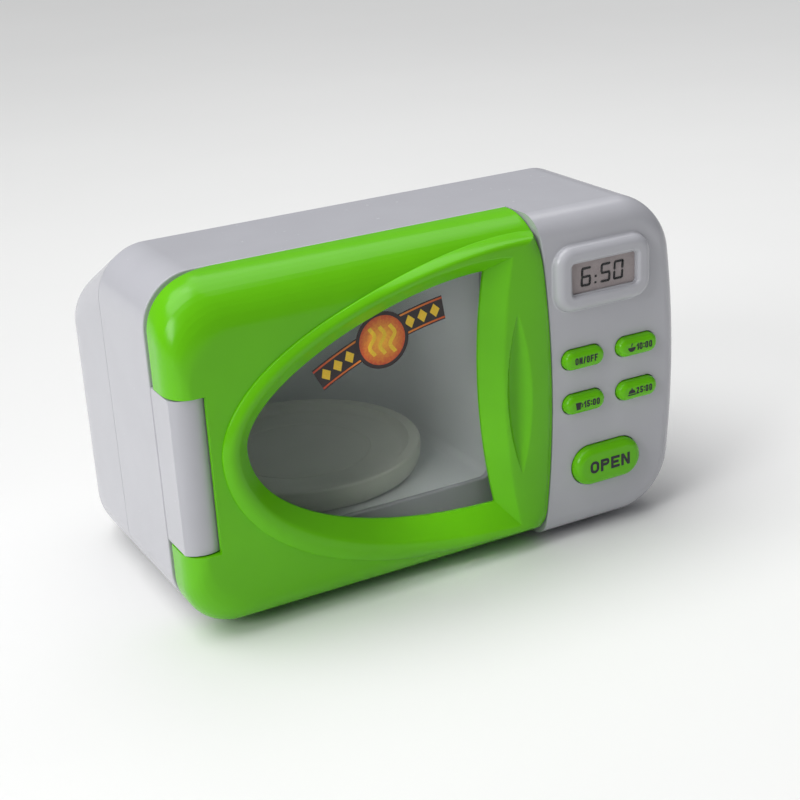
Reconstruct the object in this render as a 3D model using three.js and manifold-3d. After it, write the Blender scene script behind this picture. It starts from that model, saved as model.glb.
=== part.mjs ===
// A toy microwave oven: moulded casing, sculpted door on a side hinge, turntable and press buttons.
// Millimetres. X runs to the right, Y to the back and Z up. The door and the panel face -Y.
// Depths are measured from the panel's face, heights from the surface that the feet stand on.
import * as THREE from 'three';
import { mergeVertices } from 'three/addons/utils/BufferGeometryUtils.js';
import Module from 'manifold-3d';

const wasm = await Module();
wasm.setup();

// Casing
const bodyWidth = 246;
const bodyHeight = 151;
const bodyDepth = 152;
const panelWidth = 70.4;
const footHeight = 4;
const wall = 2.5;
const seamDepth = 80;
const rightCorner = 33;
const leftCorner = 22;
const panelEdge = 9;
const panelTopRound = 21;
const backCorner = 36;
const backEdge = 10;
const backHeight = 114;
const underEdge = 6;
const fallStart = 78;

// Clearances
const seat = 0.3;
const running = 0.6;
const overrun = 6;
const weld = 1e-4;

// Door
const doorWidth = bodyWidth - panelWidth;
const doorBow = 5.9;
const doorDepth = 25;
const doorTopRound = 22;
const doorFootRound = 15;
const surroundRise = 2;
const surroundCrown = 0.9;
const surroundStep = 0.8;
const paneSeatDepth = 6;
const paneLip = 1.5;
const paneThickness = 2;
const paneWallDepth = 12;
const gripWidth = 11;
const gripHeight = 71;
const gripDepth = 4.4;
const gripRim = 1.2;

// Hinge
const hingeInset = 9;
const hingeDepth = 13;
const hingeSweep = 12;
const hingeBlockRadius = 11;
const hingeNotchWidth = 14;
const hingeNotchHeight = 69;
const hingeNotchDrop = 79.3;
const hingePinRadius = 2;
const hingeEarBoss = 6.4;
const hingeEarHeight = 8;
const hingeBlockReach = 10;

// Catch and latch
const catchWidth = 4;
const catchHeight = 8;
const catchReach = 38;
const catchBarb = 1.5;
const catchBarbLength = 4;
const catchInset = 11.6;
const latchNoseGap = 1.3;
const latchThickness = 4;
const latchDepth = 31.6;
const latchNoseDepth = 29;
const latchNoseWidth = 5;
const latchShoulder = 2.6;
const latchEndWidth = 4.6;
const latchEndDepth = 18;
const latchGuideWidth = 4;
const latchGuideInset = 4.9;
const springRadius = 3;
const springWire = 0.55;
const springTurns = 6;
const springSpare = 1.8;
const openTravel = 3;
const springPegLength = 4;

// Panel: display and buttons
const bezelWidth = 50.4;
const bezelHeight = 29.8;
const bezelCorner = 9;
const bezelProud = 4.5;
const bezelEdge = 4.1;
const displayWidth = 34.6;
const displayHeight = 14.6;
const displayCorner = 1.6;
const displayDraft = 1.8;
const displaySink = 4.2;
const cardThickness = 0.7;
const lensThickness = 1;
const lensInset = 44.3;
const lensShare = 0.804;
const keyWidth = 21.3;
const keyHeight = 9.1;
const keyProud = 3.8;
const keyRound = 3;
const keyFlange = 1.5;
const keyFlangeThickness = 1.2;
const keyStemWidth = 12;
const keyStemHeight = 5;
const keyStemDepth = 6;
const keyTravel = 2;
const keyInset = 54.2;
const keyPitch = 29;
const keyUpperShare = 0.553;
const keyRowShare = 0.1397;
const openWidth = 36;
const openHeight = 18.6;
const openProud = 4.4;
const openRound = 3.6;
const openInset = 42.4;
const openShare = 0.2026;
const openStemWidth = 10;
const openStemDepth = 28;

// Board behind the panel
const membraneThickness = 1.5;
const membraneMargin = 2.4;
const boardThickness = 1.6;
const boardWidth = 53;
const boardHeight = 51;
const boardInset = 39.6;
const boardShare = 0.4695;
const boardPost = 3;
const boardPostMargin = 4;

// Oven
const ovenInset = 23;
const ovenPanelGap = 18.6;
const ovenFloor = 25;
const ovenHeight = 115;
const ovenBackGap = 0.5;
const ovenBackFlat = 19;
const ovenCorner = 14;
const ovenWall = 2;
const ovenFlange = 4;
const ovenCeilingGap = 9;

// Turntable
const plateSideGap = 10;
const plateFrontGap = 1.6;
const plateBackGap = 3;
const plateHeight = 12;
const plateLip = 5.5;
const plateDish = 3.6;
const plateWall = 2;
const plateEdge = 0.6;
const plateFootInset = 4;
const plateLift = 0.8;
const hubRadius = 8;
const spindleRadius = 3.2;
const spindleHead = 5.2;
const spindleHeadHeight = 6.5;

// Drive under the oven floor
const gearboxWidth = 44;
const gearboxLength = 34;
const gearboxHeight = 13;
const gearboxCorner = 5;
const motorRadius = 7.4;
const motorLength = 25;
const motorNoseRadius = 2.4;

// Speaker
const speakerRadius = 14.5;
const speakerDepth = 8.5;
const speakerCone = 11.6;
const speakerInset = 63;
const speakerRise = 90.5;
const grilleSlotWidth = 1.6;
const grilleSlotPitch = 3.6;
const grilleSlotCount = 6;
const collarThickness = 1.6;
const collarDepth = 5;

// Batteries
const cellRadius = 7.1;
const cellLength = 48.8;
const cellPitch = 14.8;
const cellCount = 3;
const cellPole = 2.7;
const cellPoleHeight = 1.2;
const contactThickness = 0.5;
const batteryInset = 63;
const batteryRise = 11.5;
const batteryWall = 2.2;
const batteryRim = 3;
const coverScrewEdge = 0.9;
const coverScrewHeadHeight = 1.2;
const coverWeb = 1;
const coverRidgeCount = 5;
const coverRidgeWidth = 1.4;
const coverRidgeProud = 0.5;
const coverRidgeStart = 6;

// Casing screws and feet
const screwHead = 3;
const screwHeadHeight = 2;
const screwShank = 1.4;
const screwLength = 18;
const screwInset = 14.5;
const screwLowRise = 17;
const screwHighRise = 101;
const screwPost = 4;
const screwWeb = 5;
const footRadius = 6.5;
const footTaper = 1;
const footPeg = 2;
const footPegHeight = 5;
const footSideInset = 42;
const footFrontDepth = 40;
const footBackInset = 30;

// Facets
const cornerSteps = 5;
const smallSteps = 3;
const roundSteps = 5;
const keySteps = 3;
const springSteps = 7;
const turnSteps = 40;
const pinSides = 12;
const sideSteps = 10;
const sweepSteps = 17;

// Places that several pieces share
const quarter = Math.PI / 2;
const left = -bodyWidth / 2;
const right = bodyWidth / 2;
const bottom = footHeight;
const top = bottom + bodyHeight;
const middle = (bottom + top) / 2;
const pocketDepth = doorDepth + running;
const bulkheadDepth = pocketDepth + wall;
const backInside = bodyDepth - wall;
const hingeX = left + hingeInset;
const notchTop = top - hingeNotchDrop + hingeNotchHeight / 2;
const notchFoot = notchTop - hingeNotchHeight;
const ovenLeft = left + ovenInset;
const ovenRight = left + doorWidth - ovenPanelGap;
const ovenCentre = (ovenLeft + ovenRight) / 2;
const ovenFront = bulkheadDepth + seat;
const ovenBack = backInside - ovenWall - ovenBackGap;
const plateCentreDepth = (ovenFront + plateFrontGap + ovenBack - plateBackGap) / 2;
const floorTop = bottom + ovenFloor;
const openX = right - openInset;
const openZ = bottom + bodyHeight * openShare;
const lensX = right - lensInset;
const lensZ = bottom + bodyHeight * lensShare;
const boardX = right - boardInset;
const boardZ = bottom + bodyHeight * boardShare;
const frontMost = -bezelProud;
const displayFloor = frontMost + displaySink;

// Shares of the door's width and height, from its lower left corner, for the window and its surround
const windowShares = {
  lowRight: [0.836, 0.154],
  sideBend: [0.772, 0.523],
  highRight: [0.829, 0.870],
  topBends: [[0.581, 0.874], [0.194, 0.695]],
  nose: [0.177, 0.523],
  footBends: [[0.171, 0.311], [0.461, 0.162]],
};
const crestShares = {
  lowRight: [0.900, 0.073],
  sideBend: [0.829, 0.483],
  highRight: [0.894, 0.907],
  topBends: [[0.666, 0.947], [0.159, 0.775]],
  nose: [0.142, 0.523],
  footBends: [[0.137, 0.272], [0.467, 0.099]],
};
const creaseShares = {
  lowRight: [0.962, 0.040],
  sideBend: [1.023, 0.502],
  highRight: [0.962, 0.964],
  topBends: [[0.695, 0.980], [0.131, 0.828]],
  nose: [0.103, 0.523],
  footBends: [[0.097, 0.219], [0.438, 0.012]],
};
const gripShares = [0.903, 0.470];
const paneShare = 0.36;
const paneWallShares = [0.40, 0.52];
const skinCutShare = 0.78;
const backCornerShare = 0.6;

// Solids and surfaces

function closedMesh(positions, triangles) {
  let volume = 0;
  for (const [a, b, c] of triangles) {
    const [p, q, r] = [positions[a], positions[b], positions[c]];
    volume += p[0] * (q[1] * r[2] - q[2] * r[1]);
    volume += p[1] * (q[2] * r[0] - q[0] * r[2]);
    volume += p[2] * (q[0] * r[1] - q[1] * r[0]);
  }
  const faces = volume < 0 ? triangles.map(([a, b, c]) => [a, c, b]) : triangles;
  const geometry = new THREE.BufferGeometry();
  geometry.setAttribute('position', new THREE.Float32BufferAttribute(positions.flat(), 3));
  geometry.setIndex(faces.flat());
  return geometry;
}

function solid(geometry) {
  const bare = new THREE.BufferGeometry();
  bare.setAttribute('position', geometry.getAttribute('position'));
  bare.setIndex(geometry.getIndex());
  const merged = mergeVertices(bare, weld);
  const index = Array.from(merged.getIndex().array);
  const kept = [];
  for (let i = 0; i < index.length; i += 3) {
    const [a, b, c] = index.slice(i, i + 3);
    if (a !== b && b !== c && c !== a) kept.push(a, b, c);
  }
  return new wasm.Manifold(new wasm.Mesh({
    numProp: 3,
    vertProperties: new Float32Array(merged.getAttribute('position').array),
    triVerts: new Uint32Array(kept),
  }));
}

function surface(manifold) {
  const mesh = manifold.getMesh();
  const geometry = new THREE.BufferGeometry();
  geometry.setAttribute('position', new THREE.Float32BufferAttribute(mesh.vertProperties, 3));
  geometry.setIndex(Array.from(mesh.triVerts));
  return geometry;
}

const join = (...solids) => solids.reduce((whole, next) => whole.add(next));
const cut = (base, ...tools) => tools.reduce((whole, next) => whole.subtract(next), base);

// Joins loops of [x, z] points, each at its own depth, into one capped body.
function loft(rings) {
  const count = rings[0].loop.length;
  const positions = rings.flatMap(({ depth, loop }) => loop.map(([x, z]) => [x, depth, z]));
  const triangles = [];
  for (let ring = 0; ring + 1 < rings.length; ring += 1) {
    for (let i = 0; i < count; i += 1) {
      const a = ring * count + i;
      const b = ring * count + (i + 1) % count;
      triangles.push([a, a + count, b + count], [a, b + count, b]);
    }
  }
  const cap = (ring) => THREE.ShapeUtils.triangulateShape(
    ring.loop.map(([x, z]) => new THREE.Vector2(x, z)), []);
  const last = (rings.length - 1) * count;
  cap(rings[0]).forEach(([a, b, c]) => triangles.push([a, b, c]));
  cap(rings[rings.length - 1]).forEach(([a, b, c]) => triangles.push([last + a, last + c, last + b]));
  return solid(closedMesh(positions, triangles));
}

// Extrudes an outline across one plane: 'xz' runs along Y, 'yz' along X and 'xy' along Z.
const planes = {
  xz: [[1, 0, 0], [0, 0, 1], [0, -1, 0]],
  yz: [[0, 1, 0], [0, 0, 1], [1, 0, 0]],
  xy: [[1, 0, 0], [0, 1, 0], [0, 0, 1]],
};

function prism(plane, points, from, to) {
  const outline = new THREE.Shape(points.map(([u, v]) => new THREE.Vector2(u, v)));
  const geometry = new THREE.ExtrudeGeometry(outline, { depth: to - from, bevelEnabled: false });
  const axes = planes[plane].map((axis) => new THREE.Vector3(...axis));
  const start = plane === 'xz' ? -to : from;
  geometry.translate(0, 0, start);
  geometry.applyMatrix4(new THREE.Matrix4().makeBasis(...axes));
  return solid(geometry);
}

const rectangle = (low, high, base, head) => [[low, base], [high, base], [high, head], [low, head]];

function block(x0, x1, y0, y1, z0, z1) {
  return prism('xz', rectangle(x0, x1, z0, z1), y0, y1);
}

function circle(u, v, radius, sides = pinSides) {
  return Array.from({ length: sides }, (_, i) => {
    const angle = 4 * quarter * i / sides;
    return [u + radius * Math.cos(angle), v + radius * Math.sin(angle)];
  });
}

// Turns a closed profile of [radius, height] points about the vertical through x, y.
function turned(profile, x, y, sides = turnSteps) {
  const geometry = new THREE.LatheGeometry(profile.map(([r, h]) => new THREE.Vector2(r, h)), sides);
  geometry.rotateX(quarter);
  geometry.translate(x, y, 0);
  geometry.deleteAttribute('normal');
  geometry.deleteAttribute('uv');
  const merged = mergeVertices(geometry, weld);
  const inThrees = (values) => Array.from({ length: values.length / 3 }, (_, i) => (
    Array.from(values.slice(3 * i, 3 * i + 3))));
  const positions = inThrees(merged.getAttribute('position').array);
  return solid(closedMesh(positions, inThrees(merged.getIndex().array)));
}

// Outlines

// How far a quarter round of the given radius is drawn in at a distance from its face.
function roundInset(radius, distance) {
  if (distance >= radius) return 0;
  const rise = radius - Math.max(distance, 0);
  return radius - Math.sqrt(radius * radius - rise * rise);
}

const roundStops = (radius, steps) => Array.from({ length: steps + 1 },
  (_, i) => radius * (1 - Math.cos(quarter * i / steps)));

// A rectangle with its own radius at each corner, from the lower right one anticlockwise.
function roundedLoop(low, high, base, head, radii, steps = cornerSteps) {
  const [lowRight, highRight, highLeft, lowLeft] = radii;
  const corners = [
    [high - lowRight, base + lowRight, lowRight, -quarter],
    [high - highRight, head - highRight, highRight, 0],
    [low + highLeft, head - highLeft, highLeft, quarter],
    [low + lowLeft, base + lowLeft, lowLeft, 2 * quarter],
  ];
  return corners.flatMap(([u, v, radius, start]) => Array.from({ length: steps + 1 }, (_, i) => {
    const angle = start + quarter * i / steps;
    return [u + radius * Math.cos(angle), v + radius * Math.sin(angle)];
  }));
}

const evenLoop = (low, high, base, head, radius, steps) => roundedLoop(
  low, high, base, head, [radius, radius, radius, radius], steps);

function centredLoop(x, z, width, height, radius, inset = 0, steps = smallSteps) {
  const [halfWidth, halfHeight] = [width / 2 - inset, height / 2 - inset];
  const corner = Math.min(radius - inset, halfWidth - weld, halfHeight - weld);
  return evenLoop(x - halfWidth, x + halfWidth, z - halfHeight, z + halfHeight,
    Math.max(corner, weld), steps);
}

// Casing form

const backSlope = (bodyHeight - backHeight) / (bodyDepth - fallStart);

function topFall(depth) {
  return Math.max(depth - fallStart, 0) * backSlope;
}

function casingRing(depth, inset = 0) {
  const fromFront = depth - inset;
  const fromBack = bodyDepth - inset - depth;
  const frontDraw = roundInset(panelEdge - inset, fromFront);
  const backDraw = roundInset(backCorner - inset, fromBack);
  const frontHeadDraw = roundInset(panelTopRound - inset, fromFront);
  const backHeadDraw = roundInset(backEdge - inset, fromBack);
  const sideDraw = inset + Math.max(frontDraw, backDraw);
  const topDraw = inset + Math.max(frontHeadDraw, backHeadDraw) + topFall(depth);
  const footDraw = inset + Math.max(frontDraw, roundInset(underEdge - inset, fromBack));
  const cornerDraw = inset + frontDraw + backDraw * backCornerShare;
  const rightRadius = rightCorner - cornerDraw;
  const leftRadius = Math.max(leftCorner - cornerDraw, panelEdge - inset);
  const radii = [rightRadius, rightRadius, leftRadius, leftRadius];
  return {
    depth,
    loop: roundedLoop(left + sideDraw, right - sideDraw, bottom + footDraw, top - topDraw, radii),
  };
}

function frontForm(inset, end) {
  const headStops = roundStops(panelTopRound - inset, roundSteps).filter((stop) => stop > panelEdge);
  const stops = [...roundStops(panelEdge - inset, roundSteps), ...headStops].map((stop) => stop + inset);
  const depths = [...stops, fallStart, end];
  return loft(depths.map((depth) => casingRing(depth, inset)));
}

function backForm(inset, start) {
  const stops = roundStops(backCorner - inset, roundSteps + 1).map((stop) => bodyDepth - inset - stop);
  const edgeStop = bodyDepth - backEdge;
  const depths = [start, ...stops, edgeStop].sort((a, b) => a - b);
  return loft(depths.map((depth) => casingRing(depth, inset)));
}

// Door form

function doorEdge(z) {
  const reach = (z - middle) / (bodyHeight / 2);
  return left + doorWidth - doorBow * reach * reach;
}

// How far the hinge side is drawn in: a round in front, and the hinge's sweep behind.
function hingeDraw(depth, inset) {
  const across = hingeInset - inset;
  const reach = hingeDepth - inset;
  if (depth < hingeDepth) {
    const share = Math.min((hingeDepth - depth) / reach, 1);
    return inset + across - across * Math.sqrt(1 - share * share);
  }
  const behind = depth - hingeDepth;
  const sweep = hingeSweep - inset;
  const chord = Math.sqrt(Math.max(sweep * sweep - behind * behind, 0));
  return inset + Math.max(across - chord, 0);
}

function doorRing(depth, inset = 0) {
  const topZ = top - inset - roundInset(doorTopRound - inset, depth - inset);
  const footZ = bottom + inset + roundInset(doorFootRound - inset, depth - inset);
  const leftX = left + hingeDraw(depth, inset);
  const corner = leftCorner - inset;
  const edge = Array.from({ length: sideSteps + 1 }, (_, i) => {
    const z = footZ + (topZ - footZ) * i / sideSteps;
    return [doorEdge(z) - inset, z];
  });
  const hingeSide = roundedLoop(leftX, right, footZ, topZ, [weld, weld, corner, corner]);
  return { depth, loop: [...edge, ...hingeSide.slice(2 * (cornerSteps + 1))] };
}

function doorForm(inset, end) {
  const stops = roundStops(doorTopRound - inset, roundSteps).map((stop) => stop + inset);
  const sweepStart = hingeDepth + Math.sqrt(hingeSweep ** 2 - hingeInset ** 2);
  const sweepMiddle = (sweepStart + doorDepth) / 2;
  const depths = [...stops, sweepMiddle, end].sort((a, b) => a - b);
  return loft(depths.map((depth) => doorRing(depth, inset)));
}

// How far the door's skin has rolled back at a height, and so where the surround meets it.
function skinDepth(z) {
  return Math.max(roundInset(doorTopRound, top - z), roundInset(doorFootRound, z - bottom));
}

const doorPoint = ([across, up]) => new THREE.Vector2(left + doorWidth * across, bottom + bodyHeight * up);

// A closed curve up the handle side, over the top to the nose and back along the foot.
function surroundCurve(shares) {
  const [lowRight, highRight] = [shares.lowRight, shares.highRight].map(doorPoint);
  const sideBend = doorPoint(shares.sideBend);
  const [overHigh, overLow] = shares.topBends.map(doorPoint);
  const [underHigh, underLow] = shares.footBends.map(doorPoint);
  const nose = doorPoint(shares.nose);
  const side = new THREE.QuadraticBezierCurve(lowRight, sideBend, highRight);
  const over = new THREE.CubicBezierCurve(highRight, overHigh, overLow, nose);
  const under = new THREE.CubicBezierCurve(nose, underHigh, underLow, lowRight);
  const runs = [[side, sideSteps], [over, sweepSteps], [under, sweepSteps]];
  return runs.flatMap(([curve, steps]) => Array.from({ length: steps }, (_, i) => {
    const point = curve.getPoint(i / steps);
    return [point.x, point.y];
  }));
}

const windowCurve = surroundCurve(windowShares);
const crestCurve = surroundCurve(crestShares);
const creaseCurve = surroundCurve(creaseShares);

const between = (first, second, share) => first.map(([x, z], i) => [
  x + (second[i][0] - x) * share, z + (second[i][1] - z) * share]);
const bandCurve = (share) => between(windowCurve, creaseCurve, share);

// The raised surround: a band that rolls from its outer crease to a crest, falls to the window and
// turns behind it into a seat and a low wall for the pane.
function surroundForm() {
  const [crestShare, rollShare] = [1 / 3, 2 / 3];
  const innerWall = bandCurve(paneWallShares[0]);
  const outerWall = bandCurve(paneWallShares[1]);
  const sections = windowCurve.map((_, i) => {
    const [windowAt, crestAt, creaseAt] = [windowCurve[i], crestCurve[i], creaseCurve[i]];
    const creaseDepth = skinDepth(creaseAt[1]) - surroundStep;
    const crown = (share) => surroundCrown * Math.sin(2 * quarter * share);
    const onBand = (share) => [
      crestAt[0] + (creaseAt[0] - crestAt[0]) * share,
      -surroundRise + (creaseDepth + surroundRise) * share * share - crown(share),
      crestAt[1] + (creaseAt[1] - crestAt[1]) * share,
    ];
    const behind = ([x, y, z]) => [x, y + wall + surroundCrown, z];
    return [
      [windowAt[0], paneSeatDepth - paneLip, windowAt[1]],
      [crestAt[0], -surroundRise, crestAt[1]],
      onBand(crestShare),
      onBand(rollShare),
      [creaseAt[0], creaseDepth, creaseAt[1]],
      [creaseAt[0], creaseDepth + surroundStep + wall, creaseAt[1]],
      behind(onBand(rollShare)),
      [outerWall[i][0], paneSeatDepth - paneLip, outerWall[i][1]],
      [outerWall[i][0], paneWallDepth, outerWall[i][1]],
      [innerWall[i][0], paneWallDepth, innerWall[i][1]],
      [innerWall[i][0], paneSeatDepth, innerWall[i][1]],
      [windowAt[0], paneSeatDepth, windowAt[1]],
    ];
  });
  const across = sections[0].length;
  const triangles = [];
  sections.forEach((_, i) => {
    const next = (i + 1) % sections.length;
    for (let k = 0; k < across; k += 1) {
      const turn = (k + 1) % across;
      const [a, b, c, d] = [i * across + k, i * across + turn, next * across + turn, next * across + k];
      triangles.push([a, b, c], [a, c, d]);
    }
  });
  return solid(closedMesh(sections.flat(), triangles));
}

// The pointed oval of the finger grip, as a turned arc that is flattened in depth.
function gripForm(grow) {
  const half = gripHeight / 2 + grow;
  const bulge = gripWidth / 2 + grow;
  const arcRadius = (half * half + bulge * bulge) / (2 * bulge);
  const steps = 2 * roundSteps + 2;
  const profile = Array.from({ length: steps + 1 }, (_, i) => {
    const height = -half + 2 * half * i / steps;
    const reach = Math.sqrt(arcRadius * arcRadius - height * height) - (arcRadius - bulge);
    return [i === 0 || i === steps ? 0 : reach, height];
  });
  const [x, z] = doorPoint(gripShares).toArray();
  const form = turned(profile, 0, 0, pinSides);
  const flatten = (gripDepth + grow) / bulge;
  return form.scale([1, flatten, 1]).translate([x, -surroundRise, z]);
}

// Door

function doorCatch() {
  const edge = doorEdge(openZ) - catchInset;
  const [low, high] = [openZ - catchHeight / 2, openZ + catchHeight / 2];
  const tongue = [
    [edge, surroundRise], [edge + catchWidth, surroundRise],
    [edge + catchWidth, catchReach - catchBarbLength],
    [edge + catchWidth + catchBarb, catchReach - catchBarbLength],
    [edge + catchWidth, catchReach], [edge, catchReach],
  ];
  return prism('xy', tongue, low, high);
}

function hingeEars() {
  const pair = [[notchTop, notchTop + hingeEarHeight], [notchFoot - hingeEarHeight, notchFoot]];
  const reach = left + hingeNotchWidth + wall;
  const plates = pair.map(([low, high], i) => (i === 0
    ? block(left, reach, 0, doorDepth, low, low + wall)
    : block(left, reach, 0, doorDepth, high - wall, high)));
  const boss = circle(hingeX, hingeDepth, hingeEarBoss);
  const bosses = pair.map(([low, high]) => prism('xy', boss, low, high));
  return join(...plates, ...bosses).intersect(doorForm(0, doorDepth));
}

function doorFrame() {
  const shell = cut(doorForm(0, doorDepth), doorForm(wall, doorDepth + overrun));
  const skinCut = prism('xz', bandCurve(skinCutShare), -overrun, wall + overrun);
  const grip = gripForm(0);
  const gripBack = cut(gripForm(wall - gripRim),
    block(left, right, -bodyDepth, -surroundRise + gripRim, 0, top));
  const solidDoor = join(cut(shell, skinCut), surroundForm(), gripBack, hingeEars(), doorCatch());
  const notch = block(left - overrun, left + hingeNotchWidth,
    -overrun, doorDepth + overrun, notchFoot, notchTop);
  const pinBore = prism('xy', circle(hingeX, hingeDepth, hingePinRadius + seat),
    notchFoot - hingeEarHeight + wall, notchTop + hingeEarHeight - wall);
  return cut(solidDoor, grip, notch, pinBore);
}

function doorWindow() {
  const front = paneSeatDepth + seat;
  return prism('xz', bandCurve(paneShare), front, front + paneThickness);
}

// Hinge

function hingeBlock() {
  const [low, high] = [notchFoot + running, notchTop - running];
  const barrel = prism('xy', circle(hingeX, hingeDepth, hingeBlockRadius, turnSteps), low, high);
  const [side, back] = [left + seat, pocketDepth - seat];
  const arm = block(side, side + hingeBlockReach + hingeInset, hingeDepth, back, low, high);
  const trimmed = cut(join(barrel, arm),
    block(left - bodyWidth, side, -overrun, bodyDepth, bottom, top),
    block(left, right, back, bodyDepth, bottom, top));
  return cut(trimmed, prism('xy', circle(hingeX, hingeDepth, hingePinRadius + seat), bottom, top));
}

function hingePin() {
  const reach = hingeEarHeight - wall - seat;
  return prism('xy', circle(hingeX, hingeDepth, hingePinRadius), notchFoot - reach, notchTop + reach);
}

// Front housing

function pocketOutline(grow) {
  const edge = Array.from({ length: sideSteps + 1 }, (_, i) => {
    const z = bottom + (top - bottom) * i / sideSteps;
    return [doorEdge(z) + running + grow, z];
  });
  const [first, last] = [edge[0], edge[sideSteps]];
  return [[left - overrun, bottom - overrun], [first[0], bottom - overrun], ...edge,
    [last[0], top + overrun], [left - overrun, top + overrun]];
}

function bezelForm() {
  const outline = (inset) => centredLoop(
    lensX, lensZ, bezelWidth, bezelHeight, bezelCorner, inset, roundSteps);
  const rings = roundStops(bezelEdge, roundSteps).map((stop) => ({
    depth: frontMost + stop,
    loop: outline(roundInset(bezelEdge, stop)),
  }));
  return loft([...rings, { depth: wall / 2, loop: outline(0) }]);
}

function displayRecess() {
  const sized = (grow) => centredLoop(lensX, lensZ,
    displayWidth + 2 * grow, displayHeight + 2 * grow, displayCorner + grow);
  return loft([
    { depth: frontMost - overrun, loop: sized(displayDraft) },
    { depth: frontMost, loop: sized(displayDraft) },
    { depth: frontMost + displayDraft, loop: sized(0) },
    { depth: displayFloor, loop: sized(0) },
  ]);
}

const keyPlaces = {
  on_off_button: [0, 0],
  timer_button_10: [1, 0],
  timer_button_15: [0, 1],
  timer_button_25: [1, 1],
};

const keyCentre = ([column, row]) => [
  right - keyInset + keyPitch * column,
  bottom + bodyHeight * (keyUpperShare - keyRowShare * row),
];

function keyHole(x, z, width, height) {
  const loop = centredLoop(x, z, width + 2 * seat, height + 2 * seat, height, 0, keySteps);
  return prism('xz', loop, -overrun, wall + overrun);
}

const boardFront = keyStemDepth + keyTravel + membraneThickness + 2 * seat;

function boardPosts() {
  const [reachX, reachZ] = [boardWidth / 2 - boardPostMargin, boardHeight / 2 - boardPostMargin];
  const places = [[boardX - reachX, boardZ + reachZ], [boardX + reachX, boardZ + reachZ],
    [boardX, boardZ - reachZ]];
  return join(...places.map(([u, v]) => prism('xz', circle(u, v, boardPost), wall / 2, boardFront - seat)));
}

const latchLow = openZ - catchHeight / 2;
const latchHigh = openZ + catchHeight / 2;
const latchEnd = openX + openStemWidth / 2 + latchEndWidth + seat;
const springLength = 2 * springTurns * springWire + openTravel + springSpare;
const springSeat = latchEnd + springLength + 2 * seat;

function latchGuides() {
  const start = doorEdge(openZ) + running + latchGuideInset;
  const back = latchDepth + latchThickness;
  const shelf = (low) => block(start, start + latchGuideWidth, wall / 2, back, low, low + wall);
  const shelves = [latchHigh + seat, latchLow - seat - wall].map(shelf);
  const stop = block(springSeat, springSeat + wall, wall / 2, back, latchLow, latchHigh);
  return join(...shelves, stop);
}

const screwPlaces = [
  [left + screwInset, bottom + screwLowRise],
  [right - screwInset, bottom + screwLowRise],
  [left + screwInset, bottom + screwHighRise],
  [right - screwInset, bottom + screwHighRise],
];

function frontHousing() {
  const outside = frontForm(0, seamDepth);
  const pocket = prism('xz', pocketOutline(0), -overrun, pocketDepth);
  const pocketWall = prism('xz', pocketOutline(wall), -overrun, bulkheadDepth);
  const hollow = cut(frontForm(wall, seamDepth + overrun), pocketWall);
  const posts = screwPlaces.map(([x, z]) => prism('xz', circle(x, z, screwPost),
    x < 0 ? pocketDepth + wall / 2 : wall / 2, seamDepth));
  const pilots = screwPlaces.map(([x, z]) => prism('xz', circle(x, z, screwShank + seat),
    seamDepth + screwWeb - screwLength, seamDepth + overrun));
  const shell = join(cut(outside, pocket, hollow), bezelForm(), boardPosts(), latchGuides(), ...posts);
  const mouth = prism('xz', evenLoop(ovenLeft, ovenRight, floorTop, floorTop + ovenHeight, ovenCorner),
    pocketDepth - overrun, bulkheadDepth + wall / 2);
  const keys = Object.values(keyPlaces).map((place) => keyHole(...keyCentre(place), keyWidth, keyHeight));
  const openHole = keyHole(openX, openZ, openWidth, openHeight);
  const catchEdge = doorEdge(openZ) - catchInset;
  const slot = block(catchEdge - running - seat, catchEdge + catchWidth + 2 * catchBarb + running,
    pocketDepth - overrun, bulkheadDepth + wall / 2, latchLow - running, latchHigh + running);
  return cut(shell, displayRecess(), mouth, slot, openHole, ...keys, ...pilots, ...footHoles());
}

// Rear housing

const speakerPlace = [right - speakerInset, bottom + speakerRise];
const batteryX = right - batteryInset;
const cellSpan = (cellCount - 1) * cellPitch + 2 * cellRadius;
const bayHalf = cellSpan / 2 + seat + running;
const bayFoot = bottom + batteryRise;
const bayHead = bayFoot + cellLength + 2 * (contactThickness + 2 * seat);
const cellDepth = backInside - running - seat - cellRadius;
const boxFront = cellDepth - cellRadius - seat - batteryWall;
const boxBack = backInside - seat;
const coverLow = bayFoot;
const coverScrewZ = bayHead + screwHead + seat + coverScrewEdge;
const coverHigh = coverScrewZ + screwHead + seat + coverScrewEdge;

function grilleSlots() {
  const [x, z] = speakerPlace;
  const reach = speakerRadius - wall;
  return Array.from({ length: grilleSlotCount }, (_, i) => {
    const rise = (i - (grilleSlotCount - 1) / 2) * grilleSlotPitch;
    const half = Math.sqrt(reach * reach - rise * rise);
    const loop = centredLoop(x, z + rise, 2 * half, grilleSlotWidth, grilleSlotWidth);
    return prism('xz', loop, backInside - overrun / 2, bodyDepth + overrun);
  });
}

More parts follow.
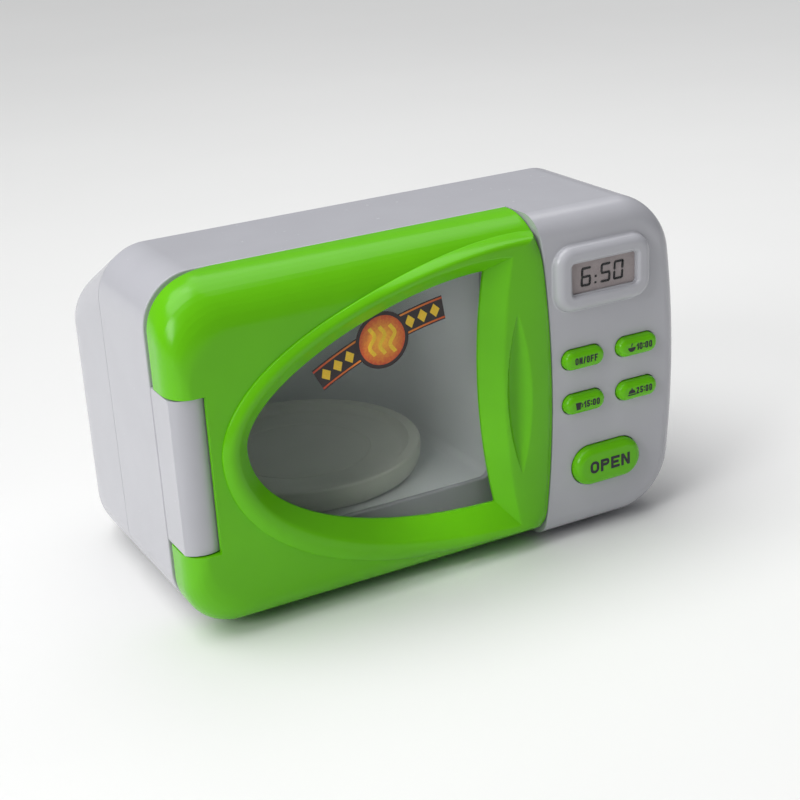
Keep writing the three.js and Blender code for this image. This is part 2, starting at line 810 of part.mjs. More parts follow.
function rearHousing() {
  const start = seamDepth + seat;
  const outside = backForm(0, start);
  const tubes = screwPlaces.map(([x, z]) => prism('xz', circle(x, z, screwPost + seat), start, bodyDepth));
  const wells = screwPlaces.map(([x, z]) => prism('xz', circle(x, z, screwHead + seat),
    seamDepth + screwWeb, bodyDepth + overrun));
  const holes = screwPlaces.map(([x, z]) => prism('xz',
    circle(x, z, screwShank + seat), seamDepth, bodyDepth));
  const [speakerX, speakerZ] = speakerPlace;
  const round = (radius) => circle(speakerX, speakerZ, radius, turnSteps / 2);
  const collar = prism('xz', round(speakerRadius + seat + collarThickness),
    backInside - collarDepth, backInside + wall / 2);
  const collarBore = prism('xz', round(speakerRadius + seat),
    backInside - collarDepth - overrun, backInside);
  const bay = block(batteryX - bayHalf - seat, batteryX + bayHalf + seat, backInside - overrun / 2,
    bodyDepth + overrun, coverLow - seat, coverHigh + seat);
  const shell = join(cut(outside, backForm(wall, start - overrun)),
    join(...tubes).intersect(outside), cut(collar, collarBore));
  return cut(shell, bay, ...grilleSlots(), ...wells, ...holes, ...footHoles());
}

// Oven liner

const ovenBackCorner = (ovenRight - ovenLeft) / 2 - ovenBackFlat;

function ovenRing(depth, grow) {
  const draw = roundInset(ovenBackCorner + grow, ovenBack + grow - depth);
  const headDraw = roundInset(ovenCorner + grow, ovenBack + grow - depth) / 2;
  const ceiling = Math.min(floorTop + ovenHeight, top - topFall(depth) - ovenCeilingGap);
  const corner = ovenCorner + grow;
  return {
    depth,
    loop: evenLoop(ovenLeft - grow + draw, ovenRight + grow - draw,
      floorTop - grow, ceiling + grow - headDraw, corner, roundSteps),
  };
}

function ovenForm(grow, start) {
  const stops = roundStops(ovenBackCorner + grow, roundSteps + 1).map((stop) => ovenBack + grow - stop);
  const depths = [start, fallStart, ...stops].sort((a, b) => a - b);
  return loft(depths.map((depth) => ovenRing(depth, grow)));
}

function ovenLiner() {
  const start = ovenFront;
  const shell = cut(ovenForm(ovenWall, start), ovenForm(0, start - overrun));
  const flange = cut(
    prism('xz', evenLoop(ovenLeft - ovenWall, ovenRight + ovenWall, floorTop - ovenFlange - ovenWall,
      floorTop + ovenHeight + ovenFlange + ovenWall, ovenCorner), start, start + ovenWall),
    prism('xz', evenLoop(ovenLeft, ovenRight, floorTop, floorTop + ovenHeight, ovenCorner, roundSteps),
      start - overrun, start + overrun));
  const shaftHole = prism('xy', circle(ovenCentre, plateCentreDepth, spindleRadius + seat, turnSteps / 2),
    bottom, floorTop + overrun);
  return cut(join(shell, flange), shaftHole);
}

// Turntable

const plateRadius = Math.min((ovenRight - ovenLeft) / 2 - plateSideGap,
  (ovenBack - ovenFront - plateFrontGap - plateBackGap) / 2);
const plateFoot = floorTop + plateLift;
const plateTop = plateFoot + plateHeight;
const dishFloor = plateTop - plateDish;
const socketTop = dishFloor - plateWall;

function turntablePlate() {
  const footRadiusAtFloor = plateRadius - plateFootInset;
  const dishRadius = plateRadius - plateLip;
  const profile = [
    [0, dishFloor], [dishRadius - plateDish, dishFloor], [dishRadius, plateTop - plateEdge],
    [dishRadius + plateEdge, plateTop], [plateRadius - 2 * plateEdge, plateTop],
    [plateRadius, plateTop - 2 * plateEdge],
    [plateRadius, plateTop - plateDish], [footRadiusAtFloor, plateFoot],
    [footRadiusAtFloor - plateWall, plateFoot], [plateRadius - plateWall - plateFootInset / 2, socketTop],
    [hubRadius, socketTop], [hubRadius, plateFoot], [0, plateFoot],
  ];
  const socket = prism('xy', circle(ovenCentre, plateCentreDepth, spindleHead + seat, roundSteps + 1),
    plateFoot - overrun, plateFoot + spindleHeadHeight + seat);
  return cut(turned(profile, ovenCentre, plateCentreDepth), socket);
}

function turntableSpindle() {
  const shaftFoot = floorTop - ovenWall - gearboxHeight / 2;
  const head = prism('xy', circle(ovenCentre, plateCentreDepth, spindleHead, roundSteps + 1),
    plateFoot - plateLift / 2, plateFoot + spindleHeadHeight);
  const shaft = prism('xy', circle(ovenCentre, plateCentreDepth, spindleRadius), shaftFoot, plateFoot);
  return join(head, shaft);
}

// Drive

const gearboxTop = floorTop - ovenWall - seat;

function gearboxCase() {
  const loop = evenLoop(ovenCentre - gearboxWidth / 2, ovenCentre + gearboxWidth / 2,
    plateCentreDepth - gearboxLength / 2, plateCentreDepth + gearboxLength / 2, gearboxCorner, smallSteps);
  const body = prism('xy', loop, gearboxTop - gearboxHeight, gearboxTop);
  const shaftWell = prism('xy', circle(ovenCentre, plateCentreDepth, spindleRadius + seat, turnSteps / 2),
    gearboxTop - gearboxHeight / 2 - seat, gearboxTop + overrun);
  return cut(body, shaftWell);
}

function driveMotor() {
  const start = ovenCentre + gearboxWidth / 2 + seat;
  const end = start + motorLength;
  const z = gearboxTop - gearboxHeight / 2 - wall / 2;
  const can = prism('yz', circle(plateCentreDepth, z, motorRadius, turnSteps / 2), start, end);
  const nose = prism('yz', circle(plateCentreDepth, z, motorNoseRadius), end, end + wall);
  return join(can, nose);
}

// Buttons

function keyForm(x, z, width, height, proud, round, stem) {
  const loop = (grow) => centredLoop(x, z, width + 2 * grow, height + 2 * grow, height, 0, keySteps);
  const dome = roundStops(round, smallSteps + 1).map((stop) => ({
    depth: -proud + stop,
    loop: loop(-roundInset(round, stop) + weld),
  }));
  const flangeFront = wall + seat;
  const flangeBack = flangeFront + keyFlangeThickness;
  const stemLoop = centredLoop(x, z, stem[0], stem[1], stem[1] / 4, 0, keySteps);
  return loft([
    ...dome,
    { depth: flangeFront, loop: loop(0) },
    { depth: flangeFront, loop: loop(keyFlange) },
    { depth: flangeBack, loop: loop(keyFlange) },
    { depth: flangeBack, loop: stemLoop },
    { depth: stem[2], loop: stemLoop },
  ]);
}

function pressKey(place) {
  const [x, z] = keyCentre(place);
  return keyForm(x, z, keyWidth, keyHeight, keyProud, keyRound,
    [keyStemWidth, keyStemHeight, keyStemDepth]);
}

function openButton() {
  const stemBase = wall + seat + 2 * keyFlangeThickness;
  const cap = keyForm(openX, openZ, openWidth, openHeight, openProud, openRound,
    [openStemWidth, catchHeight, stemBase]);
  const [low, high] = [openX - openStemWidth / 2, openX + openStemWidth / 2];
  const wedge = prism('xy', [
    [low, stemBase - keyFlangeThickness], [high, stemBase - keyFlangeThickness],
    [high, openStemDepth - openStemWidth], [low, openStemDepth],
  ], latchLow, latchHigh);
  return join(cap, wedge);
}

// Latch

const noseX = doorEdge(openZ) - catchInset + catchWidth + catchBarb + latchNoseGap;

function latchSlider() {
  const wedgeSum = openX - openStemWidth / 2 + openStemDepth + Math.SQRT2 * seat;
  const back = latchDepth + latchThickness;
  const outline = [
    [noseX, latchNoseDepth], [noseX + latchNoseWidth, latchNoseDepth],
    [noseX + latchNoseWidth + latchShoulder, latchDepth], [wedgeSum - latchDepth, latchDepth],
    [wedgeSum - latchEndDepth, latchEndDepth], [latchEnd, latchEndDepth],
    [latchEnd, back], [noseX, back],
  ];
  const pegRadius = springRadius - springWire - running;
  const peg = prism('yz', circle(latchEndDepth + 2 * springRadius, openZ, pegRadius),
    latchEnd - seat, latchEnd + springPegLength);
  return join(prism('xy', outline, latchLow, latchHigh), peg);
}

// A coil of wire from the slider's end to the stop, as one unbroken sweep.
function latchSpring() {
  const start = latchEnd + seat + springWire;
  const end = springSeat - seat - springWire;
  const steps = springTurns * springSteps;
  const centre = latchEndDepth + 2 * springRadius;
  const points = Array.from({ length: steps + 1 }, (_, i) => {
    const angle = 4 * quarter * springTurns * i / steps;
    return new THREE.Vector3(start + (end - start) * i / steps,
      centre + springRadius * Math.cos(angle), openZ + springRadius * Math.sin(angle));
  });
  const section = circle(0, 0, springWire, roundSteps).map(([u, v]) => new THREE.Vector2(u, v));
  const path = new THREE.CatmullRomCurve3(points);
  return solid(new THREE.ExtrudeGeometry(new THREE.Shape(section),
    { steps, extrudePath: path, bevelEnabled: false }));
}

// Display and board

function displaySheet(thickness, back) {
  const loop = centredLoop(lensX, lensZ, displayWidth, displayHeight, displayCorner, seat);
  return prism('xz', loop, back - thickness, back);
}

const displayCard = () => displaySheet(cardThickness, displayFloor - seat);
const displayLens = () => displaySheet(lensThickness, displayFloor - 2 * seat - cardThickness);

function keypadMembrane() {
  const [leftX, upperZ] = keyCentre([0, 0]);
  const [rightX, lowerZ] = keyCentre([1, 1]);
  const back = boardFront - seat;
  const [sideways, upwards] = [keyStemWidth / 2 + membraneMargin, keyStemHeight / 2 + membraneMargin];
  const loop = evenLoop(leftX - sideways, rightX + sideways, lowerZ - upwards, upperZ + upwards,
    membraneMargin, smallSteps);
  return prism('xz', loop, back - membraneThickness, back);
}

function controlBoard() {
  return block(boardX - boardWidth / 2, boardX + boardWidth / 2, boardFront, boardFront + boardThickness,
    boardZ - boardHeight / 2, boardZ + boardHeight / 2);
}

// Speaker and batteries

function speaker() {
  const [x, z] = speakerPlace;
  const front = backInside - seat;
  const steps = turnSteps / 2;
  const stages = [
    [speakerRadius, front], [speakerRadius, front - wall], [speakerCone, front - speakerDepth / 2],
    [speakerRadius / 2, front - speakerDepth / 2], [speakerRadius / 2, front - speakerDepth],
  ];
  return loft(stages.map(([radius, depth]) => ({ depth, loop: circle(x, z, radius, steps) })).reverse());
}

function batteryBox() {
  const outerHalf = bayHalf + batteryRim;
  const outer = block(batteryX - outerHalf, batteryX + outerHalf, boxFront, boxBack,
    bayFoot - batteryRim, coverHigh + batteryRim / 2);
  const innerHalf = outerHalf - 2 * batteryRim + batteryWall;
  const inside = block(batteryX - innerHalf, batteryX + innerHalf,
    boxFront + batteryWall, boxBack + overrun, bayFoot, bayHead);
  const pilot = prism('xz', circle(batteryX, coverScrewZ, screwShank + seat),
    boxBack - screwLength / 2 - seat, boxBack + overrun);
  return cut(outer, inside, pilot);
}

function batteryCell(index) {
  const x = batteryX + (index - (cellCount - 1) / 2) * cellPitch;
  const foot = bayFoot + contactThickness + 2 * seat;
  const head = foot + cellLength - cellPoleHeight;
  const up = index % 2 === 0;
  const profile = up
    ? [[0, foot], [cellRadius, foot], [cellRadius, head], [cellPole, head],
      [cellPole, head + cellPoleHeight], [0, head + cellPoleHeight]]
    : [[0, foot], [cellPole, foot], [cellPole, foot + cellPoleHeight],
      [cellRadius, foot + cellPoleHeight], [cellRadius, head + cellPoleHeight], [0, head + cellPoleHeight]];
  return turned(profile, x, cellDepth, turnSteps / 2);
}

function batteryContact(low) {
  return block(batteryX - cellSpan / 2, batteryX + cellSpan / 2, cellDepth - cellRadius + seat,
    cellDepth + cellRadius - seat, low, low + contactThickness);
}

function batteryCover() {
  const plate = block(batteryX - bayHalf, batteryX + bayHalf, backInside, bodyDepth, coverLow, coverHigh);
  const ridges = Array.from({ length: coverRidgeCount }, (_, i) => {
    const z = coverLow + coverRidgeStart + 2 * i * coverRidgeWidth;
    return block(batteryX - bayHalf / 2, batteryX + bayHalf / 2, backInside + wall / 2,
      bodyDepth + coverRidgeProud, z, z + coverRidgeWidth);
  });
  const round = (radius) => circle(batteryX, coverScrewZ, radius);
  const well = prism('xz', round(screwHead + seat), backInside + coverWeb, bodyDepth + overrun);
  const hole = prism('xz', round(screwShank + seat), backInside - overrun, bodyDepth);
  return cut(join(plate, ...ridges), well, hole);
}

// Screws and feet

function screwForm(x, z, headFront, headHeight, length) {
  const rings = [
    [screwShank, headFront - length], [screwShank, headFront], [screwHead, headFront],
    [screwHead, headFront + headHeight / 2], [screwHead - headHeight / 2, headFront + headHeight],
  ];
  return loft(rings.map(([radius, depth]) => ({ depth, loop: circle(x, z, radius) })));
}

function casingScrew([x, z]) {
  return screwForm(x, z, seamDepth + screwWeb + seat, screwHeadHeight, screwLength - 2 * seat);
}

function coverScrew() {
  return screwForm(batteryX, coverScrewZ, backInside + coverWeb + seat,
    coverScrewHeadHeight, screwLength / 2);
}

const footPlaces = {
  foot_front_left: [left + footSideInset, footFrontDepth],
  foot_front_right: [right - footSideInset, footFrontDepth],
  foot_back_left: [left + footSideInset, bodyDepth - footBackInset],
  foot_back_right: [right - footSideInset, bodyDepth - footBackInset],
};

function footHoles() {
  return Object.values(footPlaces).map(([x, y]) => prism('xy', circle(x, y, footPeg + seat),
    bottom - overrun, bottom + wall + overrun / 2));
}

function foot([x, y]) {
  const head = footHeight - seat;
  return turned([
    [0, 0], [footRadius - footTaper, 0], [footRadius, footTaper], [footRadius, head],
    [footPeg, head], [footPeg, head + footPegHeight], [0, head + footPegHeight],
  ], x, y, pinSides);
}

// Colours and finishes

const finishes = {
  casing: { color: 0xe6e8ec, roughness: 0.32 },
  lime: { color: 0x6fd02a, roughness: 0.28 },
  liner: { color: 0xd9dbe0, roughness: 0.45 },
  pane: { color: 0xc9d2cc, roughness: 0.08, transparent: true, opacity: 0.3 },
  plate: { color: 0xe4e6de, roughness: 0.4 },
  card: { color: 0xc9bcbc, roughness: 0.5 },
  darkPlastic: { color: 0x33363a, roughness: 0.55 },
  nylon: { color: 0xd8d4c6, roughness: 0.5 },
  silicone: { color: 0x9aa0a4, roughness: 0.7 },
  board: { color: 0x3f7a3c, roughness: 0.5 },
  cell: { color: 0x2f4f8a, roughness: 0.35 },
  rubber: { color: 0xb9bcc0, roughness: 0.7 },
  steel: { color: 0xb8bcc0, roughness: 0.3, metalness: 0.9 },
};

const model = new THREE.Group();
model.position.y = -(bodyDepth + coverRidgeProud + frontMost) / 2;

function place(name, form, finish) {
  const shape = surface(form).toNonIndexed();
  shape.computeVertexNormals();
  const mesh = new THREE.Mesh(shape, new THREE.MeshStandardMaterial({ metalness: 0, ...finishes[finish] }));
  mesh.name = name;
  model.add(mesh);
}

place('front_housing', frontHousing(), 'casing');
place('rear_housing', rearHousing(), 'casing');
place('oven_liner', ovenLiner(), 'liner');
place('hinge_block', hingeBlock(), 'casing');
place('hinge_pin', hingePin(), 'steel');
place('door_frame', doorFrame(), 'lime');
place('door_window', doorWindow(), 'pane');
place('latch_slider', latchSlider(), 'nylon');
place('latch_spring', latchSpring(), 'steel');
place('open_button', openButton(), 'lime');
Object.entries(keyPlaces).forEach(([name, spot]) => place(name, pressKey(spot), 'lime'));
place('keypad_membrane', keypadMembrane(), 'silicone');
place('display_lens', displayLens(), 'pane');
place('display_card', displayCard(), 'card');
place('control_board', controlBoard(), 'board');
place('speaker', speaker(), 'darkPlastic');
place('battery_box', batteryBox(), 'darkPlastic');
Array.from({ length: cellCount }, (_, i) => place(`battery_cell_${i + 1}`, batteryCell(i), 'cell'));
place('battery_contact_lower', batteryContact(bayFoot + seat), 'steel');
place('battery_contact_upper', batteryContact(bayHead - seat - contactThickness), 'steel');
place('battery_cover', batteryCover(), 'casing');
place('battery_cover_screw', coverScrew(), 'steel');
place('gearbox_case', gearboxCase(), 'nylon');
place('drive_motor', driveMotor(), 'steel');
place('turntable_spindle', turntableSpindle(), 'nylon');
place('turntable_plate', turntablePlate(), 'plate');
Object.entries(footPlaces).forEach(([name, spot]) => place(name, foot(spot), 'rubber'));
screwPlaces.forEach((spot, i) => place(`housing_screw_${i + 1}`, casingScrew(spot), 'steel'));

const toyMicrowave = new THREE.Group();
toyMicrowave.add(model);

export default toyMicrowave;
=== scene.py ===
"""Dresses the solids of a toy microwave oven: casing, sculpted door, turntable, keys, print and stage.

Every size is in metres, in the frame of the solids: X to the right, Y to the back and Z up.
Depths are measured from the face of the panel.
"""
import math

import bmesh
import bpy
import numpy as np
from bpy.props import (
    FloatProperty, FloatVectorProperty, IntProperty, PointerProperty,
)
from mathutils import Matrix, Vector


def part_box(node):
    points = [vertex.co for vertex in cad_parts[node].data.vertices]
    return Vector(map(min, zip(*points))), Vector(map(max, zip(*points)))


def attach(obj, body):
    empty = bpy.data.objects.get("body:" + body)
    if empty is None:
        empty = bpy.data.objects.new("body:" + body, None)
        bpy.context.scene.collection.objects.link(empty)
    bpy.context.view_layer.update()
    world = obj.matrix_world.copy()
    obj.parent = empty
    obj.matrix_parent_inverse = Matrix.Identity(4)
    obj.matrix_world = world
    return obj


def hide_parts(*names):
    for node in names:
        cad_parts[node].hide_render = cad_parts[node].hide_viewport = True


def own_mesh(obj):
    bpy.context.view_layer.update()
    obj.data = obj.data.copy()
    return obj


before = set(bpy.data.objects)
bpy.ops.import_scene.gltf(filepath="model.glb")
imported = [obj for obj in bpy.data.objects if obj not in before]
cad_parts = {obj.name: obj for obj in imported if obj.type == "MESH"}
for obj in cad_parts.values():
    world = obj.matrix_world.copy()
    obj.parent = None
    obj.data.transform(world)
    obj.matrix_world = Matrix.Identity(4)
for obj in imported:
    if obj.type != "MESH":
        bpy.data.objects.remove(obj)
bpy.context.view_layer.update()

bl_info = {
    "name": "Toy microwave oven",
    "version": (1, 0, 0),
    "blender": (4, 5, 0),
    "location": "View3D > Sidebar > Toy microwave",
    "description": "Builds the finished surfaces of a toy microwave oven round its solids",
    "category": "Object",
}

QUARTER = math.pi / 2
TINY = 1e-6
WELD = 2e-7
OVERRUN = 0.006
CORNER_STEPS = 18
ROUND_STEPS = 12
SMALL_STEPS = 5
SIDE_STEPS = 168
BOW_STEPS = 24
SWEEP_STEPS = 84
BAND_STEPS = 46
MITRE_STEPS = 34
TURN_STEPS = 96
PIN_STEPS = 24
BEZEL_PROUD = 0.0045
LOW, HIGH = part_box("front_housing")
LEFT, RIGHT = LOW.x, HIGH.x
BOTTOM, TOP = LOW.z, HIGH.z
FACE_Y = LOW.y + BEZEL_PROUD
MIDDLE, HALF_HEIGHT = (BOTTOM + TOP) / 2, (TOP - BOTTOM) / 2

# Sizes that pieces share: screws, feet, hinge, catch, latch, oven, display and print
SCREW_TUBE, SCREW_WELL, SCREW_HOLE, SCREW_PILOT = 0.0043, 0.0033, 0.0017, 0.0014
FOOT_INSET, FOOT_DEPTHS, FOOT_PEG = 0.042, (0.040, 0.122), 0.002
PIN_BORE, NOTCH_REACH = 0.0023, 0.014
BOSS_RADIUS, BOSS_HEIGHT = 0.0064, 0.008
CATCH_INSET, SLOT_WIDTH = 0.0116, 0.007
LATCH_START, LATCH_BACK, LATCH_HALF = 0.0049, 0.0356, 0.004
OVEN_LOW, OVEN_HIGH, OVEN_FLOOR = LEFT + 0.023, LEFT + 0.157, BOTTOM + 0.025
OVEN_HEIGHT, OVEN_HEADROOM, OVEN_DEPTH = 0.115, 0.009, 0.1186
DISPLAY_CORNER = 0.0016
INK_THICKNESS, INK_GAP = 0.00004, 0.00002
ROUNDEL_X, ROUNDEL_Z = LEFT + 0.0962, 0.1145


# Sizes and colours


def length(name, description, default):
    return FloatProperty(
        name=name, description=description, default=default, min=0, unit="LENGTH", precision=5)


def colour(name, description, default):
    return FloatVectorProperty(
        name=name, description=description, default=default, min=0, max=1, size=3, subtype="COLOR")


def power(name, description, default):
    return FloatProperty(name=name, description=description, default=default, min=0, unit="POWER")


def number(name, description, default):
    return IntProperty(name=name, description=description, default=default, min=1)


class CasingSizes(bpy.types.PropertyGroup):
    wall: length("Wall", "Thickness of the moulded walls", 0.0025)
    body_depth: length("Depth", "From the panel to the back", 0.152)
    seam_depth: length("Seam", "Depth at which the halves meet", 0.080)
    fall_start: length("Fall start", "Depth at which the top starts to fall", 0.078)
    back_height: length("Back height", "Height of the casing at its back", 0.114)
    right_corner: length("Right corner", "Radius of the corners on the right", 0.025)
    left_corner: length("Left corner", "Radius of the corners on the left", 0.022)
    panel_edge: length("Panel edge", "Round between panel and sides", 0.009)
    side_bow: length("Side bow", "How far the right side bows out", 0.007)
    panel_top_round: length("Panel top round", "Round between panel and top", 0.011)
    back_corner: length("Back corner", "Round between sides and back", 0.036)
    back_edge: length("Back edge", "Round between top and back", 0.010)
    under_edge: length("Under edge", "Round between underside and back", 0.006)
    seat: length("Seat", "Gap between pieces that fit", 0.0003)
    running: length("Running gap", "Gap beside pieces that move", 0.0006)
    lip: length("Lip", "Round on the edges of openings", 0.0007)
    grille_count: number("Slots", "Slots in the speaker grille", 6)
    grille_pitch: length("Slot pitch", "From slot to slot in the grille", 0.0036)
    grille_width: length("Slot width", "Width of a grille slot", 0.0016)
    ridge_count: number("Ridges", "Finger ridges on the cover", 5)


class DoorSizes(bpy.types.PropertyGroup):
    width: length("Width", "From the hinge side to the handle side", 0.1756)
    bow: length("Bow", "How far the handle side bows out", 0.0059)
    depth: length("Depth", "Depth of the door's rim", 0.025)
    top_round: length("Top round", "Round between the front and the top", 0.022)
    foot_round: length("Foot round", "Round between the front and the foot", 0.015)
    rise: length("Rise", "How far the surround stands proud", 0.002)
    crown: length("Crown", "How far the surround swells", 0.0009)
    step: length("Step", "Step round the surround", 0.0008)
    crest_round: length("Crest round", "Softness of the surround's ridge", 0.0011)
    pane_seat: length("Pane seat", "Depth that the pane rests at", 0.006)
    pane_lip: length("Pane lip", "Thickness of the edge before the pane", 0.0015)
    pane_thickness: length("Pane", "Thickness of the clear pane", 0.002)
    pane_wall: length("Pane wall", "Depth of the low wall round the pane", 0.012)
    grip_width: length("Grip width", "Width of the finger grip", 0.0125)
    grip_height: length("Grip height", "Height of the finger grip", 0.074)
    grip_depth: length("Grip depth", "Depth of the finger grip", 0.0044)
    hinge_inset: length("Hinge inset", "From the left side to the pin", 0.009)
    hinge_depth: length("Hinge depth", "Depth of the pin", 0.013)
    hinge_sweep: length("Sweep", "Radius that the hinge side turns in", 0.012)


class PanelSizes(bpy.types.PropertyGroup):
    bezel_width: length("Bezel width", "Width of the display's bezel", 0.0504)
    bezel_height: length("Bezel height", "Height of the display's bezel", 0.0298)
    bezel_corner: length("Bezel corner", "Corner radius of the bezel", 0.009)
    bezel_edge: length("Bezel edge", "Round on the bezel's edge", 0.0041)
    bezel_lip: length("Bezel lip", "Round on the inner edge of the bezel", 0.0016)
    display_width: length("Display width", "Width of the printed display", 0.0338)
    display_height: length("Display height", "Height of the printed display", 0.0140)
    key_width: length("Key width", "Width of a small key", 0.0213)
    key_height: length("Key height", "Height of a small key", 0.0091)
    key_proud: length("Key proud", "How far a small key stands out", 0.0038)
    key_round: length("Key round", "Round on a small key", 0.003)
    open_width: length("Open key width", "Width of the large key", 0.036)
    open_height: length("Open key height", "Height of the large key", 0.0186)
    open_proud: length("Open key proud", "How far the large key stands out", 0.0044)
    open_round: length("Open key round", "Round on the large key", 0.0036)
    letter_height: length("Letter height", "Height of the small keys' print", 0.0032)
    letter_stroke: length("Letter stroke", "Stroke of the small keys' print", 0.00068)
    open_letter_height: length("Open letter height", "Height of the large key's print", 0.0059)
    open_letter_stroke: length("Open letter stroke", "Stroke of the large key's print", 0.0014)


class Finishes(bpy.types.PropertyGroup):
    shell: colour("Casing", "Cool white of the casing", (0.465, 0.465, 0.50))
    lime: colour("Lime", "Door and keys", (0.128, 0.500, 0.004))
    liner: colour("Liner", "Inside of the oven", (0.72, 0.75, 0.76))
    plate: colour("Turntable", "Turntable plate", (0.66, 0.68, 0.60))
    pane: colour("Pane", "Tint of the clear pane", (0.16, 0.18, 0.16))
    card: colour("Display", "Printed display card", (0.44, 0.38, 0.38))
    ink: colour("Ink", "Dark print", (0.012, 0.012, 0.014))
    print_dark: colour("Print outline", "Dark ground of the window print", (0.020, 0.010, 0.012))
    print_light: colour("Print light", "Light colour of the window print", (0.86, 0.55, 0.02))
    foot: colour("Feet", "Soft feet", (0.52, 0.54, 0.58))


class StageSettings(bpy.types.PropertyGroup):
    floor_colour: colour("Floor", "Pale floor", (0.84, 0.84, 0.83))
    key_power: power("Key light", "Power of the key light", 9.5)
    top_power: power("Top light", "Power of the top light", 5.5)
    fill_power: power("Fill light", "Power of the fill light", 0.1)
    window_power: power("Window light", "Power of the faint light that the clear pane lets in", 0.0042)
    sill_power: power("Sill light", "Power of the narrow light on the sill behind the pane", 0.0028)
    sky: FloatProperty(name="Sky", description="Strength of the even light", default=0.16, min=0)
    sun: FloatProperty(name="Sun", description="Strength of the wide light from above", default=2.1, min=0)
    lens: FloatProperty(
        name="Lens", description="Focal length of the camera", default=72.43, min=1, unit="CAMERA")


# Outlines, as lists of (x, z)


def round_inset(radius, distance):
    """How far a quarter round is drawn in at a distance from its face."""
    if distance >= radius:
        return 0.0
    rise = radius - max(distance, 0.0)
    return radius - math.sqrt(radius * radius - rise * rise)


def round_stops(radius, steps=ROUND_STEPS):
    return [radius * (1 - math.cos(QUARTER * i / steps)) for i in range(steps + 1)]


def between(first, last, steps=SIDE_STEPS):
    return [first + (last - first) * i / steps for i in range(steps + 1)]


def arc(x, z, radius, start, end, steps):
    return [(x + radius * math.cos(turn), z + radius * math.sin(turn)) for turn in between(start, end, steps)]


def rounded_loop(low, high, base, head, radii, steps=CORNER_STEPS):
    """A rectangle with its own radius at each corner, from the lower right one anticlockwise."""
    low_right, high_right, high_left, low_left = radii
    return (
        arc(high - low_right, base + low_right, low_right, -QUARTER, 0, steps)
        + arc(high - high_right, head - high_right, high_right, 0, QUARTER, steps)
        + arc(low + high_left, head - high_left, high_left, QUARTER, 2 * QUARTER, steps)
        + arc(low + low_left, base + low_left, low_left, 2 * QUARTER, 3 * QUARTER, steps))


def centred_loop(x, z, width, height, radius, inset=0.0, steps=CORNER_STEPS):
    half_width, half_height = width / 2 - inset, height / 2 - inset
    corner = max(min(radius - inset, half_width - TINY, half_height - TINY), TINY)
    return rounded_loop(
        x - half_width, x + half_width, z - half_height, z + half_height, [corner] * 4, steps)


def circle(x, z, radius, steps=PIN_STEPS):
    return arc(x, z, radius, 0, 4 * QUARTER, steps)[:-1]


def rectangle(x0, x1, z0, z1):
    return [(x0, z0), (x1, z0), (x1, z1), (x0, z1)]


# Closed forms, as (points, faces)


def stand(x, depth, z):
    return (x, FACE_Y + depth, z)


def loft(rings):
    """Joins loops of (x, z), each at its own depth, into one capped body."""
    count = len(rings[0][1])
    points = [stand(x, depth, z) for depth, loop in rings for x, z in loop]
    faces = []
    for ring in range(len(rings) - 1):
        for i in range(count):
            a, b = ring * count + i, ring * count + (i + 1) % count
            faces.append((a, b, b + count, a + count))
    last = (len(rings) - 1) * count
    faces.append(tuple(range(count))[::-1])
    faces.append(tuple(range(last, last + count)))
    return points, faces


def slab(loop, start, end):
    return loft([(start, loop), (end, loop)])


def disc(x, z, radius, start, end, steps=PIN_STEPS):
    return slab(circle(x, z, radius, steps), start, end)


def block(x0, x1, depth0, depth1, z0, z1):
    return slab(rectangle(x0, x1, z0, z1), depth0, depth1)


def upright(loop, low, high):
    """Extrudes an outline of (x, depth) from one height to another."""
    count = len(loop)
    points = [stand(x, depth, z) for z in (low, high) for x, depth in loop]
    sides = [(i, (i + 1) % count, (i + 1) % count + count, i + count) for i in range(count)]
    return points, sides + [tuple(range(count))[::-1], tuple(range(count, 2 * count))]


def post(x, depth, radius, low, high, steps=PIN_STEPS):
    return upright(circle(x, depth, radius, steps), low, high)


def turned(profile, x, depth, steps=TURN_STEPS):
    """Turns a profile of (radius, height), from the axis to the axis, about an upright line."""
    points, rows = [], []
    for radius, height in profile:
        if radius < TINY:
            rows.append([len(points)])
            points.append(stand(x, depth, height))
            continue
        rows.append(list(range(len(points), len(points) + steps)))
        turns = [4 * QUARTER * i / steps for i in range(steps)]
        points += [stand(x + radius * math.cos(t), depth + radius * math.sin(t), height) for t in turns]
    faces = []
    for row, following in zip(rows, rows[1:]):
        for i in range(steps):
            j = (i + 1) % steps
            corners = [row[i % len(row)], row[j % len(row)],
                       following[j % len(following)], following[i % len(following)]]
            faces.append(tuple(dict.fromkeys(corners)))
    return points, [face for face in faces if len(face) > 2]


def together(*forms):
    """Several separate bodies as one form."""
    points, faces = [], []
    for form_points, form_faces in forms:
        faces += [tuple(i + len(points) for i in face) for face in form_faces]
        points += list(form_points)
    return points, faces


def cleaned(mesh, turn_out=False):
    """Merges doubles, drops faces of no area and gives the number of edges that are open."""
    work = bmesh.new()
    work.from_mesh(mesh)
    bmesh.ops.remove_doubles(work, verts=work.verts, dist=WELD)
    bmesh.ops.dissolve_degenerate(work, edges=work.edges, dist=WELD)
    if turn_out:
        bmesh.ops.recalc_face_normals(work, faces=work.faces)
    open_edges = sum(not edge.is_manifold for edge in work.edges)
    work.to_mesh(mesh)
    work.free()
    return open_edges


def mesh_of(name, form):
    """A mesh of a form, with doubles merged and faces that point outwards."""
    points, faces = form
    mesh = bpy.data.meshes.new(name)
    mesh.from_pydata([tuple(p) for p in points], [], faces)
    cleaned(mesh, turn_out=True)
    return mesh


def form_of(mesh):
    form = ([tuple(v.co) for v in mesh.vertices], [tuple(p.vertices) for p in mesh.polygons])
    bpy.data.meshes.remove(mesh)
    return form


def linked(name, data):
    made = bpy.data.objects.new(name, data)
    bpy.context.scene.collection.objects.link(made)
    return made


